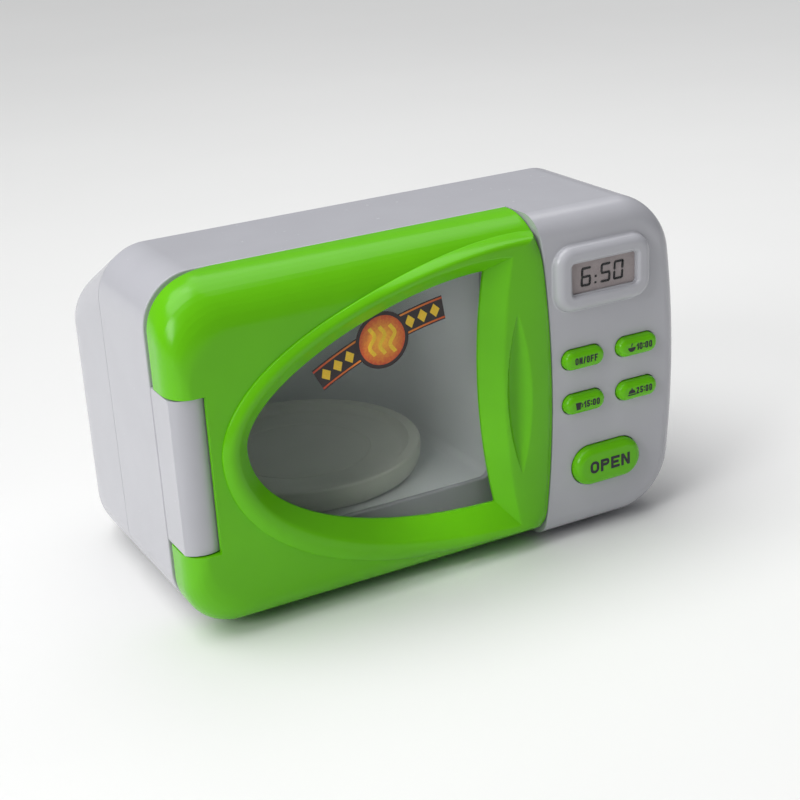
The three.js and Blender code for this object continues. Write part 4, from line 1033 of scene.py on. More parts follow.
# Curves of the surround, as shares of the door's width and height
WINDOW = {
    "low": (0.836, 0.154), "side": (0.772, 0.523), "high": (0.829, 0.870), "nose": (0.177, 0.523),
    "over": [(0.581, 0.874), (0.194, 0.695)], "under": [(0.171, 0.311), (0.461, 0.162)]}
CREST = {
    "low": (0.892, 0.073), "side": (0.820, 0.483), "high": (0.889, 0.907), "nose": (0.142, 0.523),
    "over": [(0.666, 0.947), (0.159, 0.775)], "under": [(0.137, 0.272), (0.467, 0.099)]}
CREASE = {
    "low": (0.962, 0.040), "side": (1.018, 0.502), "high": (0.970, 0.956), "nose": (0.103, 0.523),
    "over": [(0.695, 0.980), (0.131, 0.828)], "under": [(0.097, 0.219), (0.438, 0.012)]}
GRIP, GRIP_LEAN = (0.899, 0.488), -0.4

# Shares of the way from the window's edge out to the crease
PANE_SHARE, INNER_WALL, OUTER_WALL, SKIN_SHARE = 0.36, 0.40, 0.52, 0.78


def door_point(d, share):
    return np.array([LEFT + d.width * share[0], BOTTOM + (TOP - BOTTOM) * share[1]])


def bezier(points, steps):
    """Points along a curve of any degree, without its end."""
    made = []
    for i in range(steps):
        t, work = i / steps, list(points)
        while len(work) > 1:
            work = [(1 - t) * a + t * b for a, b in zip(work, work[1:])]
        made.append(work[0])
    return made


def surround_curve(d, shares):
    """A closed curve up the handle side, over the top to the nose and back along the foot."""
    low, side, high, nose = (door_point(d, shares[key]) for key in ("low", "side", "high", "nose"))
    over, under = ([door_point(d, share) for share in shares[key]] for key in ("over", "under"))
    return np.array(bezier([low, side, high], SIDE_STEPS) + bezier([high, *over, nose], SWEEP_STEPS)
                    + bezier([nose, *under, low], SWEEP_STEPS))


def part_way(d, share):
    """An outline part of the way from the window's edge out to the crease."""
    window, crease = surround_curve(d, WINDOW), surround_curve(d, CREASE)
    return window + (crease - window) * share


def hinge_draw(d, depth, inset):
    """How far the hinge side is drawn in: a round in front, and the hinge's sweep behind."""
    across = d.hinge_inset - inset
    reach = d.hinge_depth - inset
    if depth < d.hinge_depth:
        share = min((d.hinge_depth - depth) / reach, 1.0)
        return inset + across - across * math.sqrt(1 - share * share)
    behind = depth - d.hinge_depth
    sweep = d.hinge_sweep - inset
    return inset + max(across - math.sqrt(max(sweep * sweep - behind * behind, 0.0)), 0.0)


def door_ring(c, d, depth, inset):
    top_z = TOP - inset - round_inset(d.top_round - inset, depth - inset)
    foot_z = BOTTOM + inset + round_inset(d.foot_round - inset, depth - inset)
    left_x = LEFT + hinge_draw(d, depth, inset)
    corner = c.left_corner - inset
    edge = [(door_edge(z) - inset, z) for z in between(foot_z, top_z)]
    hinge_side = rounded_loop(left_x, RIGHT, foot_z, top_z, [TINY, TINY, corner, corner])
    return edge + hinge_side[2 * (CORNER_STEPS + 1):]


def door_form(c, d, inset, end):
    stops = {round(stop + inset, 6) for stop in round_stops(d.top_round - inset, 18)}
    stops |= {round(stop + inset, 6) for stop in round_stops(d.foot_round - inset, 10)}
    start = d.hinge_depth + math.sqrt(d.hinge_sweep ** 2 - d.hinge_inset ** 2)
    sweep = {start + (d.depth - start) * i / 4 for i in range(4)}
    depths = apart(sorted(stops | sweep | {d.hinge_depth, end}), 5e-5)
    return loft([(depth, door_ring(c, d, depth, inset)) for depth in depths])


def grip_floor(d, x, z):
    """Depth of the finger grip's hollow at a point of the handle. Outside it, it stands in front."""
    at_x, at_z = door_point(d, GRIP)
    half, bulge = d.grip_height / 2, d.grip_width / 2
    radius = (half * half + bulge * bulge) / (2 * bulge)
    height = min(abs(z - at_z), half * 1.1)
    reach = math.sqrt(radius * radius - height * height) - (radius - bulge)
    aside = x - at_x
    if reach < bulge * 0.02:
        return -d.rise - bulge
    lean = GRIP_LEAN * reach
    span = reach + lean if aside < lean else reach - lean
    return -d.rise + d.grip_depth * reach / bulge * (1 - ((aside - lean) / span) ** 2)


def soft_max(a, b, soft):
    return (a + b + math.sqrt((a - b) ** 2 + soft * soft)) / 2


def away_from_handle(i):
    """How far a section of the surround is from the handle's corners: 0 on the handle, 1 well away."""
    along = i - SIDE_STEPS
    return min(max(min(along, 2 * SWEEP_STEPS - along), 0) / MITRE_STEPS, 1.0)


def surround(c, d):
    """The raised surround: rolls from its crease to a crest, falls to the window and seats the pane."""
    window, crest, crease = (surround_curve(d, shares) for shares in (WINDOW, CREST, CREASE))
    inner_wall, outer_wall = part_way(d, INNER_WALL), part_way(d, OUTER_WALL)
    wall_top = d.pane_seat - d.pane_lip
    band_end, crease_drop = 0.97, 0.0002
    grip_soft, grip_reach, grip_slack = 0.0009, 0.006, 0.0003
    sections = []
    for i in range(len(window)):
        w, r, s = window[i], crest[i], crease[i]
        skin = max(round_inset(d.top_round, TOP - s[1]), round_inset(d.foot_round, s[1] - BOTTOM))
        crease_depth = skin - d.step
        away = away_from_handle(i)
        near_corner = max(1 - abs(i - SIDE_STEPS) / MITRE_STEPS, 0.0)

        def on_band(share):
            x, z = r + (s - r) * share
            crown = away * d.crown * math.sin(2 * QUARTER * share)
            fall = (crease_depth + d.rise) * share ** (4 - 2 * away + 3 * near_corner)
            return np.array([x, -d.rise + fall - crown, z])

        edge = np.array([w[0], wall_top, w[1]])
        top = np.array([r[0], -d.rise, r[1]])
        near = edge + (top - edge) * (1 - min(d.crest_round / np.linalg.norm(edge - top), 0.4))
        from_share = min(d.crest_round / np.linalg.norm(s - r), 0.3)
        far = on_band(from_share)
        front = [edge + (near - edge) * k / 5 for k in range(5)]
        front += [(1 - t) ** 2 * near + 2 * t * (1 - t) * top + t * t * far for t in np.linspace(0, 1, 6)]
        front += [on_band(share) for share in between(from_share, band_end, BAND_STEPS)[1:]]
        for point in front[5:]:
            x, plain, z = point
            pressed = soft_max(plain, grip_floor(d, x, z), grip_soft) if plain < grip_reach else plain
            point[1] = max(plain, pressed - grip_slack)
        front.append((s[0], crease_depth + crease_drop, s[1]))
        back = [(s[0], crease_depth + d.step + c.wall, s[1])]
        for share in (0.9, 0.8, 0.7, 0.6):
            x, depth, z = on_band(share)
            back.append((x, max(depth, grip_floor(d, x, z)) + c.wall + d.crown, z))
        outer, inner = outer_wall[i], inner_wall[i]
        outer_top = max(wall_top, grip_floor(d, *outer) + c.wall)
        for (x, z), depth in ((outer, outer_top), (outer, d.pane_wall), (inner, d.pane_wall),
                              (inner, d.pane_seat), (w, d.pane_seat)):
            back.append((x, depth, z))
        sections.append(front + back)
    across = len(sections[0])
    points = [stand(*point) for section in sections for point in section]
    faces = []
    for i in range(len(sections)):
        here, following = i * across, (i + 1) % len(sections) * across
        for k in range(across):
            turn = (k + 1) % across
            faces.append((here + k, here + turn, following + turn, following + k))
    return points, faces


def hinge_notch():
    low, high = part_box("hinge_block")
    gap = bpy.context.scene.toy_casing.running
    return low.z - gap, high.z + gap


def hinge_ears(c, d):
    foot, head = hinge_notch()
    reach = LEFT + NOTCH_REACH + c.wall
    pin_x = LEFT + d.hinge_inset
    plates = [block(LEFT, reach, 0.0, d.depth, *heights)
              for heights in ((head, head + c.wall), (foot - c.wall, foot))]
    bosses = [post(pin_x, d.hinge_depth, BOSS_RADIUS, *heights)
              for heights in ((head, head + BOSS_HEIGHT), (foot - BOSS_HEIGHT, foot))]
    return form_of(carve("ears", together(*plates), add(together(*bosses)),
                         ("INTERSECT", door_form(c, d, 0.0, d.depth))))


def door_catch(d):
    """The tongue that the latch holds, with a barb at its end."""
    thick, barb, barb_start, end = 0.004, 0.0055, 0.034, 0.038
    edge = door_edge(OPEN_Z) - CATCH_INSET
    tongue = [(edge, d.rise), (edge + thick, d.rise), (edge + thick, barb_start), (edge + barb, barb_start),
              (edge + thick, end), (edge, end)]
    return upright(tongue, LATCH_LOW, LATCH_HIGH)


def door_frame_mesh(c, d):
    skin_cut = slab([tuple(p) for p in part_way(d, SKIN_SHARE)], -OVERRUN, c.wall + OVERRUN)
    foot, head = hinge_notch()
    notch = block(LEFT - OVERRUN, LEFT + NOTCH_REACH, -OVERRUN, d.depth + OVERRUN, foot, head)
    bore = post(LEFT + d.hinge_inset, d.hinge_depth, PIN_BORE,
                foot - BOSS_HEIGHT + c.wall, head + BOSS_HEIGHT - c.wall)
    return carve("door_skin", door_form(c, d, 0.0, d.depth), cut(door_form(c, d, c.wall, d.depth + OVERRUN)),
                 cut(skin_cut), add(surround(c, d)), add(hinge_ears(c, d)), add(door_catch(d)), cut(notch),
                 cut(bore))


def mark_mitres(mesh, d):
    """Keeps the surround's two corners on the handle side crisp, from the window out to the crease."""
    curves = [surround_curve(d, shares) for shares in (WINDOW, CREST, CREASE)]
    lines = [(inner[i], outer[i]) for i in (0, SIDE_STEPS) for inner, outer in zip(curves, curves[1:])]

    def on_line(point):
        for first, last in lines:
            along = last - first
            share = min(max(np.dot(point - first, along) / np.dot(along, along), 0.0), 1.0)
            if np.linalg.norm(point - first - share * along) < 4e-5:
                return True
        return False
    near = [vertex.co.y - FACE_Y < d.top_round and on_line(np.array([vertex.co.x, vertex.co.z]))
            for vertex in mesh.vertices]
    sharp = mesh.attributes.get("sharp_edge") or mesh.attributes.new("sharp_edge", "BOOLEAN", "EDGE")
    for edge in mesh.edges:
        if near[edge.vertices[0]] and near[edge.vertices[1]]:
            sharp.data[edge.index].value = True


def pane_face():
    """Depth of the clear pane's front."""
    scene = bpy.context.scene
    return scene.toy_door.pane_seat + scene.toy_casing.seat


def pane_mesh(d):
    outline = [tuple(p) for p in part_way(d, PANE_SHARE)]
    return mesh_of("window_pane", slab(outline, pane_face(), pane_face() + d.pane_thickness))


def hinge_block_mesh(c, d):
    foot, head = hinge_notch()
    low, high = foot + c.running, head - c.running
    side, back = LEFT + c.seat, d.depth + c.running - c.seat
    pin_x = LEFT + d.hinge_inset
    radius, arm_reach = 0.011, 0.010
    barrel = post(pin_x, d.hinge_depth, radius, low, high, 72)
    arm = block(side, side + arm_reach + d.hinge_inset, d.hinge_depth, back, low, high)
    return carve("hinge_barrel", barrel, add(arm),
                 cut(block(LEFT - 0.1, side, -OVERRUN, c.body_depth, BOTTOM, TOP)),
                 cut(block(LEFT - 0.2, RIGHT, back, c.body_depth, BOTTOM, TOP)),
                 cut(post(pin_x, d.hinge_depth, PIN_BORE, BOTTOM, TOP)))


# Keys, display and print


def key_form(c, x, z, width, height, proud, rounding, stem_width, stem_height, stem_end):
    """A key's rounded cap, the flange that keeps it in and its stem."""
    def outline(grow):
        return centred_loop(x, z, width + 2 * grow, height + 2 * grow, height)
    dome = [(stop - proud, outline(-round_inset(rounding, stop) + TINY)) for stop in round_stops(rounding)]
    flange, thick, front = 0.0015, 0.0012, c.wall + c.seat
    stem = centred_loop(x, z, stem_width, stem_height, stem_height / 4)
    return loft([*dome, (front, outline(0.0)), (front + TINY, outline(flange)),
                 (front + thick, outline(flange)), (front + thick + TINY, stem), (stem_end, stem)])


def ring_slab(outer, inner, start, end):
    """A closed band between two loops of the same count."""
    count = len(outer)
    points = [stand(x, depth, z) for depth in (start, end) for loop in (outer, inner) for x, z in loop]
    faces = []
    for i in range(count):
        j = (i + 1) % count
        a, b, c, d = (range(k * count, (k + 1) * count) for k in range(4))
        faces += [(a[i], a[j], b[j], b[i]), (c[j], c[i], d[i], d[j]),
                  (a[j], a[i], c[i], c[j]), (b[i], b[j], d[j], d[i])]
    return points, faces


def band_along(path, half):
    """A strip of even width along a path of (x, z)."""
    path = np.array(path)
    along = np.gradient(path, axis=0)
    along /= np.linalg.norm(along, axis=1)[:, None]
    aside = np.stack([-along[:, 1], along[:, 0]], axis=1) * half
    return [tuple(p) for p in path + aside] + [tuple(p) for p in (path - aside)[::-1]]


def glyph(symbol, x, z, width, height, stroke):
    """The strokes of a character whose lower left corner is at (x, z). A pair of loops is a ring."""
    half, right, head = stroke / 2, x + width, z + height
    bar = rectangle

    def ring(low, high, base, top):
        outer = min(width * 0.46, (top - base) / 2 - TINY)
        radius = max(outer - stroke, stroke * 0.2)
        return (rounded_loop(low, high, base, top, [outer] * 4, 8),
                rounded_loop(low + stroke, high - stroke, base + stroke, top - stroke, [radius] * 4, 8))
    stem = bar(x, x + stroke, z, head)
    mid = z + height * 0.5
    if symbol in "O0":
        return [ring(x, right, z, head)]
    if symbol == "P":
        return [ring(x, right, z + height * 0.42, head), stem]
    if symbol in "EF":
        bars = [bar(x, right, head - stroke, head), bar(x, right - width * 0.12, mid - half, mid + half)]
        return [stem, *bars] + ([bar(x, right, z, z + stroke)] if symbol == "E" else [])
    if symbol == "N":
        slant = [(x, head), (right - stroke, z), (right, z), (x + stroke, head)]
        return [stem, slant, bar(right - stroke, right, z, head)]
    if symbol == "/":
        return [[(x, z), (x + stroke, z), (right, head), (right - stroke, head)]]
    if symbol == ":":
        return [bar(x, x + stroke, z + height * share, z + height * share + stroke) for share in (0.18, 0.62)]
    if symbol == "1":
        stalk = x + width * 0.55
        tip, tip_z = stalk - width * 0.42, head - height * 0.26
        flag = [(tip, tip_z), (tip, tip_z - stroke), (stalk + half, head - stroke), (stalk + half, head)]
        return [bar(stalk, stalk + stroke, z, head), flag]
    radius = width / 2 - half
    if symbol == "2":
        bowl = arc(x + width / 2, head - radius - half, radius, 2.1 * QUARTER, -0.2 * QUARTER, 16)
        return [band_along([*bowl, (x + half, z + stroke * 0.6)], half), bar(x, right, z, z + stroke)]
    low = z + radius + half
    bowl = arc(x + width / 2, low, radius, -2.2 * QUARTER, 0, 16)
    turn = arc(x + width / 2, z + height * 0.62 - radius - half, radius, 0.0, 1.75 * QUARTER, 12)
    return [band_along([*bowl, *turn], half), bar(x + stroke * 0.2, right, head - stroke, head),
            bar(x + stroke * 0.2, x + stroke * 1.2, z + height * 0.5, head)]


NARROW = {":": 0.36, "1": 0.80, "/": 0.75}


def lettering(name, text, x, z, width, height, stroke, depth, finish, body):
    """Raised print, a few hundredths thick, centred on (x, z) and made to a width."""
    shares = [NARROW.get(symbol, 1.0) for symbol in text]
    gap = stroke * 0.62
    cell = (width - gap * (len(text) - 1)) / sum(shares)
    at, layers = x - width / 2, []
    for symbol, share in zip(text, shares):
        for i, shape in enumerate(glyph(symbol, at, z - height / 2, cell * share, height, stroke)):
            ends = depth - INK_THICKNESS, depth
            form = ring_slab(*shape, *ends) if isinstance(shape, tuple) else slab(shape, *ends)
            if i == len(layers):
                layers.append([])
            layers[i].append(form)
        at += cell * share + gap
    mesh = carve(name, together(*layers[0]), *(add(together(*layer)) for layer in layers[1:]))
    return piece(name, mesh, finish, body)


def flat_print(name, forms, finish, body):
    return piece(name, mesh_of(name, together(*forms)), finish, body)


SEGMENTS = {"6": "acdefg", "5": "acdfg", "0": "abcdef"}


def digit_segments(symbol, low, base, width, height, bar):
    """The lit bars of a seven-bar digit, each a long hexagon."""
    half, gap = bar / 2, bar * 0.14
    mid = base + height / 2
    ends = {
        "a": ((low, base + height - half), (low + width, base + height - half)),
        "g": ((low, mid), (low + width, mid)),
        "d": ((low, base + half), (low + width, base + half)),
        "f": ((low + half, mid), (low + half, base + height)),
        "b": ((low + width - half, mid), (low + width - half, base + height)),
        "e": ((low + half, base), (low + half, mid)),
        "c": ((low + width - half, base), (low + width - half, mid)),
    }
    made = []
    for key in SEGMENTS[symbol]:
        (x0, z0), (x1, z1) = ends[key]
        if key in "agd":
            x0, x1 = x0 + gap, x1 - gap
            made.append([(x0, z0), (x0 + half, z0 - half), (x1 - half, z0 - half),
                         (x1, z0), (x1 - half, z0 + half), (x0 + half, z0 + half)])
        else:
            z0, z1 = z0 + gap, z1 - gap
            made.append([(x0, z0), (x0 + half, z0 + half), (x0 + half, z1 - half),
                         (x0, z1), (x0 - half, z1 - half), (x0 - half, z0 + half)])
    return made


def display_digits():
    """The printed time, in bars that lean a little."""
    height, width, bar, lean = 0.0087, 0.0053, 0.00105, 0.07
    base = LENS_Z - height / 2
    start = LENS_X - 0.0120
    shapes = []
    for symbol, across in (("6", 0.0), ("5", 0.0103), ("0", 0.0172)):
        shapes += digit_segments(symbol, start + across, base, width, height, bar)
    for rise in (0.0008, 0.0036):
        x, z, dot = start + 0.0078, base + rise, bar * 0.45
        shapes.append(rectangle(x - dot, x + dot, z - dot, z + dot))
    return [slab([(x + (z - base) * lean, z) for x, z in shape], CARD_DEPTH - 0.0002, CARD_DEPTH - 0.00005)
            for shape in shapes]


def icon_shapes(kind, x, z, size):
    """A small plain picture beside a time: a bowl, a cup or a dome on a dish."""
    def at(points):
        return [(x + u * size, z + v * size) for u, v in points]
    if kind == "bowl":
        rim = arc(0, 0.05, 0.5, 2 * QUARTER, 4 * QUARTER, 16)
        return [at(rim), at([(-0.12, 0.16), (0.02, 0.16), (0.12, 0.5), (-0.02, 0.5)])]
    if kind == "cup":
        return [at([(-0.42, 0.35), (-0.3, -0.45), (0.18, -0.45), (0.3, 0.35)]),
                at(band_along(arc(0.27, -0.02, 0.2, QUARTER * 0.9, -QUARTER * 0.9, 10), 0.055))]
    return [at(arc(0, -0.2, 0.46, 0, 2 * QUARTER, 16)),
            at([(-0.55, -0.42), (0.55, -0.42), (0.5, -0.28), (-0.5, -0.28)]),
            at(rectangle(-0.07, 0.07, 0.26, 0.42))]


# Operators


def sizes():
    scene = bpy.context.scene
    return scene.toy_casing, scene.toy_door, scene.toy_panel


def dress(node_name, key):
    """Gives a solid that stays its own finish."""
    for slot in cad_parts[node_name].material_slots:
        slot.material = finish_named(key)


class FrontHousing(bpy.types.Operator):
    """The front half of the casing, with its panel, bezel and openings"""
    bl_idname = "toy_microwave.front_housing"
    bl_label = "Front housing"

    def execute(self, context):
        mesh = front_housing_mesh(*sizes())
        piece("front_casing", mesh, "shell", "casing", ["front_housing"])
        return {"FINISHED"}


class RearHousing(bpy.types.Operator):
    """The back half of the casing, with its grille and screw wells"""
    bl_idname = "toy_microwave.rear_housing"
    bl_label = "Rear housing"

    def execute(self, context):
        mesh = rear_housing_mesh(context.scene.toy_casing)
        piece("rear_casing", mesh, "shell", "casing", ["rear_housing"])
        return {"FINISHED"}


class OvenLiner(bpy.types.Operator):
    """The walls of the oven"""
    bl_idname = "toy_microwave.oven_liner"
    bl_label = "Oven liner"

    def execute(self, context):
        c, d, _ = sizes()
        piece("oven_lining", oven_liner_mesh(c, d), "liner", "casing", ["oven_liner"])
        return {"FINISHED"}


class DoorFrame(bpy.types.Operator):
    """The sculpted door frame with its finger grip"""
    bl_idname = "toy_microwave.door_frame"
    bl_label = "Door frame"

    def execute(self, context):
        c, d, _ = sizes()
        mesh = door_frame_mesh(c, d)
        piece("door_skin", mesh, "lime", "door", ["door_frame"], 38.0)
        mark_mitres(mesh, d)
        return {"FINISHED"}


class DoorWindow(bpy.types.Operator):
    """The clear pane and the pattern printed on it"""
    bl_idname = "toy_microwave.door_window"
    bl_label = "Door window"

    def execute(self, context):
        _, d, _ = sizes()
        piece("window_pane", pane_mesh(d), "pane", "door", ["door_window"])
        self.ribbon()
        self.roundel()
        return {"FINISHED"}

    def layer(self, name, finish, loops, far, near):
        """Prints loops between two small distances in front of the pane."""
        forms = [slab(loop, pane_face() - far, pane_face() - near) for loop in loops]
        flat_print(name, forms, finish, "door")

    def ribbon(self):
        centre_x, centre_z, radius = LEFT + 0.15045, -0.05485, 0.1794
        start, end = math.radians(118.2), math.radians(97.8)

        def band(grow, half):
            return band_along(arc(centre_x, centre_z, radius + grow, start, end, 48), half)
        self.layer("print_ribbon_ground", "print_dark", [band(0.0, 0.0054)], 0.00008, 0.00001)
        edges = [band(side, 0.0004) for side in (-0.0044, 0.0044)]
        self.layer("print_ribbon_edges", "warm_band", edges, 0.00014, 0.00009)
        wide, tall, thick = 0.0024, 0.0031, 0.00003
        lozenge = linked("lozenge", mesh_of("lozenge", (
            [(x, y, z) for y in (-thick, thick) for x, z in ((-wide, 0), (0, -tall), (wide, 0), (0, tall))],
            [(0, 1, 2, 3), (7, 6, 5, 4), (0, 4, 5, 1), (1, 5, 6, 2), (2, 6, 7, 3), (3, 7, 4, 0)])))
        row = grown("print_lozenges", motif_tree(), "print_light", {
            "Shape": lozenge, "Count": 10, "Radius": radius, "Start": start - 0.024,
            "Sweep": end - start + 0.048, "Centre": (centre_x, FACE_Y + pane_face() - 0.00012, centre_z)})
        bpy.data.objects.remove(lozenge)
        piece("print_lozenges", row, "print_light", "door")

    def roundel(self):
        x, z = ROUNDEL_X, ROUNDEL_Z
        self.layer("print_roundel_ground", "print_dark", [circle(x, z, 0.0125, 72)], 0.00021, 0.00016)
        self.layer("print_roundel_glow", "glow", [circle(x, z, 0.0108, 72)], 0.00027, 0.00022)
        waves = []
        for offset in (-0.0048, 0.0, 0.0048):
            path = [(x + offset + 0.0012 * math.sin(4.2 * t), z + 0.0062 * t) for t in np.linspace(-1, 1, 33)]
            waves.append(band_along(path, 0.00085))
        self.layer("print_steam_waves", "print_light", waves, 0.00033, 0.00028)


class Hinge(bpy.types.Operator):
    """The fixed hinge block and its pin"""
    bl_idname = "toy_microwave.hinge"
    bl_label = "Hinge"

    def execute(self, context):
        c, d, _ = sizes()
        piece("hinge_barrel", hinge_block_mesh(c, d), "shell", "casing", ["hinge_block"])
        dress("hinge_pin", "steel")
        return {"FINISHED"}


class Display(bpy.types.Operator):
    """The printed time behind its clear cover"""
    bl_idname = "toy_microwave.display"
    bl_label = "Display"

    def execute(self, context):
        _, _, p = sizes()
        card = display_sheet(p, CARD_DEPTH, DISPLAY_FLOOR - 0.0001)
        piece("time_card", mesh_of("time_card", card), "card", "casing", ["display_card"])
        cover = display_sheet(p, COVER_DEPTH, COVER_DEPTH + COVER_THICKNESS)
        piece("display_cover", mesh_of("display_cover", cover), "lens", "casing",
              ["display_lens"])
        flat_print("display_time", display_digits(), "digit", "casing")
        return {"FINISHED"}


class Keys(bpy.types.Operator):
    """The small keys and the key that frees the door"""
    bl_idname = "toy_microwave.keys"
    bl_label = "Keys"

    def execute(self, context):
        c, _, p = sizes()
        for name, (replaced, body, x, z) in KEYS.items():
            form = key_form(c, x, z, p.key_width, p.key_height, p.key_proud, p.key_round, 0.012, 0.005, 0.006)
            piece(f"{name}_cap", mesh_of(f"{name}_cap", form), "lime", body, [replaced])
        base = c.wall + c.seat + 0.0024
        cap = key_form(c, OPEN_X, OPEN_Z, p.open_width, p.open_height, p.open_proud, p.open_round,
                       0.010, 0.008, base)
        low, high, start = OPEN_X - 0.005, OPEN_X + 0.005, base - 0.0012
        wedge = upright([(low, start), (high, start), (high, 0.018), (low, 0.028)], LATCH_LOW, LATCH_HIGH)
        piece("open_cap", carve("open_cap", cap, add(wedge)), "lime", "open_key",
              ["open_button"])
        return {"FINISHED"}


class KeyPrint(bpy.types.Operator):
    """The print on the keys"""
    bl_idname = "toy_microwave.key_print"
    bl_label = "Key print"

    def execute(self, context):
        _, _, p = sizes()
        words = {"on_off": ("ON/OFF", None), "timer_10": ("10:00", "bowl"),
                 "timer_15": ("15:00", "cup"), "timer_25": ("25:00", "dome")}
        for name, (text, icon) in words.items():
            _, body, x, z = KEYS[name]
            depth = -p.key_proud - INK_GAP
            aside, width = (0.0024, 0.0088) if icon else (0.0, 0.0120)
            lettering(f"{name}_print", text, x + aside, z, width, p.letter_height, p.letter_stroke, depth,
                      "ink", body)
            if icon:
                shapes = icon_shapes(icon, x - 0.0044, z, 0.0042)
                flat_print(f"{name}_icon", [slab(shape, depth - INK_THICKNESS, depth) for shape in shapes],
                           "ink", body)
        lettering("open_print", "OPEN", OPEN_X, OPEN_Z, 0.0219, p.open_letter_height, p.open_letter_stroke,
                  -p.open_proud - INK_GAP, "ink", "open_key")
        return {"FINISHED"}


class Turntable(bpy.types.Operator):
    """The turntable plate and what drives it"""
    bl_idname = "toy_microwave.turntable"
    bl_label = "Turntable"

    def execute(self, context):
        low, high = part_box("turntable_plate")
        x, depth = turntable_centre()
        foot, top, radius = low.z, high.z, (high.x - low.x) / 2
        soft, dip, sole = 0.0012, 0.0036, 0.004
        dish = top - dip
        dish_radius, socket_top = radius - 0.0055, dish - 0.002
        ring = dish_radius * 0.62
        rim = [(radius - soft + soft * math.sin(t), top - soft + soft * math.cos(t))
               for t in np.linspace(0, QUARTER, 8)]
        slope = [(dish_radius - dip * (1 - t), dish + 0.0034 * t * t) for t in np.linspace(0, 1, 9)]
        side = [(radius - sole * (1 - math.cos(t)), dish - (dish - foot) * math.sin(t))
                for t in np.linspace(0, QUARTER, 9)]
        profile = [(0, dish), (ring, dish), (ring + 0.0004, dish + 0.0003), (ring + 0.0012, dish + 0.0003),
                   (ring + 0.0016, dish), *slope, (dish_radius + 0.0008, top), *rim, (radius, dish),
                   *side[1:], (radius - 0.006, foot), (radius - sole, socket_top), (0.008, socket_top),
                   (0.008, foot), (0, foot)]
        socket = post(x, depth, 0.0055, foot - OVERRUN, foot + 0.0068, 6)
        mesh = carve("turntable_dish", turned(profile, x, depth), cut(socket))
        piece("turntable_dish", mesh, "plate", "turntable", ["turntable_plate"])
        dress("turntable_spindle", "nylon")
        dress("gearbox_case", "nylon")
        dress("drive_motor", "can")
        return {"FINISHED"}


class BatteryCover(bpy.types.Operator):
    """The screwed cover of the battery bay"""
    bl_idname = "toy_microwave.battery_cover"
    bl_label = "Battery cover"

    def execute(self, context):
        c = context.scene.toy_casing
        low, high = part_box("battery_cover")
        x, z = middle_of("battery_cover")
        _, screw_z = middle_of("battery_cover_screw")
        inner, outer = c.body_depth - c.wall, c.body_depth
        half_x, half_z = (high.x - low.x) / 2, (high.z - low.z) / 2
        soft, pitch = 0.0006, 0.0028

        def outline(inset):
            return centred_loop(x, z, 2 * half_x, 2 * half_z, 0.0015, inset, 6)
        plate = loft([(inner, outline(0.0)), *((outer - stop, outline(round_inset(soft, stop)))
                                               for stop in reversed(round_stops(soft, 4)))])
        ridges = grown("ridges", bars_tree(), "shell", {
            "Count": c.ridge_count, "Pitch": pitch, "Length": half_x, "Thickness": 0.0014, "Depth": 0.0017,
            "Round radius": 1.0, "Centre": (x, FACE_Y + inner + c.wall / 2, low.z + 0.0067 + 2 * pitch)})
        well = disc(x, screw_z, SCREW_WELL, inner + 0.001, outer + OVERRUN, 40)
        hole = disc(x, screw_z, SCREW_HOLE, inner - OVERRUN, outer)
        mesh = carve("battery_lid", plate, add(form_of(ridges)), cut(well), cut(hole))
        piece("battery_lid", mesh, "shell", "casing", ["battery_cover"])
        return {"FINISHED"}


def screw_template(name, length_under, head_height):
    """A cross-headed screw that lies along Y, its head's underside at the origin."""
    head, shank, pitch = 0.003, SCREW_PILOT, 0.0011
    rings = [(-length_under, shank * 0.3), (-length_under + 0.0016, shank)]
    for i in range(int((length_under - 0.004) / pitch)):
        start = -length_under + 0.0018 + i * pitch
        rings += [(start, shank * 0.8), (start + pitch / 2, shank)]
    rings += [(-0.0006, shank), (0.0, shank + 0.0001), (0.00001, head), (head_height * 0.35, head)]
    rings += [(head_height * (0.35 + 0.65 * math.sin(t)), head * (0.55 + 0.45 * math.cos(t)))
              for t in np.linspace(0.3, QUARTER, 5)]
    body = loft([(depth - FACE_Y, circle(0, 0, radius, 28)) for depth, radius in rings])
    arm, wide, start, end = 0.0019, 0.00035, head_height * 0.35 - FACE_Y, 0.01 - FACE_Y
    return carve(name, body, cut(block(-arm, arm, start, end, -wide, wide)),
                 cut(block(-wide, wide, start, end, -arm, arm)))


class Fasteners(bpy.types.Operator):
    """The casing screws and the screw of the battery cover"""
    bl_idname = "toy_microwave.fasteners"
    bl_label = "Fasteners"

    def execute(self, context):
        tree = scatter_tree()
        casing = [f"housing_screw_{i}" for i in (1, 2, 3, 4)]
        for name, solids, under, head in (("casing_screws", casing, 0.0174, 0.002),
                                          ("cover_screw", ["battery_cover_screw"], 0.009, 0.0012)):
            template = linked(f"{name}_template", screw_template(f"{name}_template", under, head))
            places = []
            for solid in solids:
                x, z = middle_of(solid)
                places.append((x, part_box(solid)[1].y - head, z))
            mesh = grown(name, tree, "steel", {
                "Shape": template, "Turn": QUARTER, "Axis": (0.0, 1.0, 0.0), "Seed": 7}, places)
            bpy.data.objects.remove(template)
            piece(name, mesh, "steel", "casing", solids)
        return {"FINISHED"}


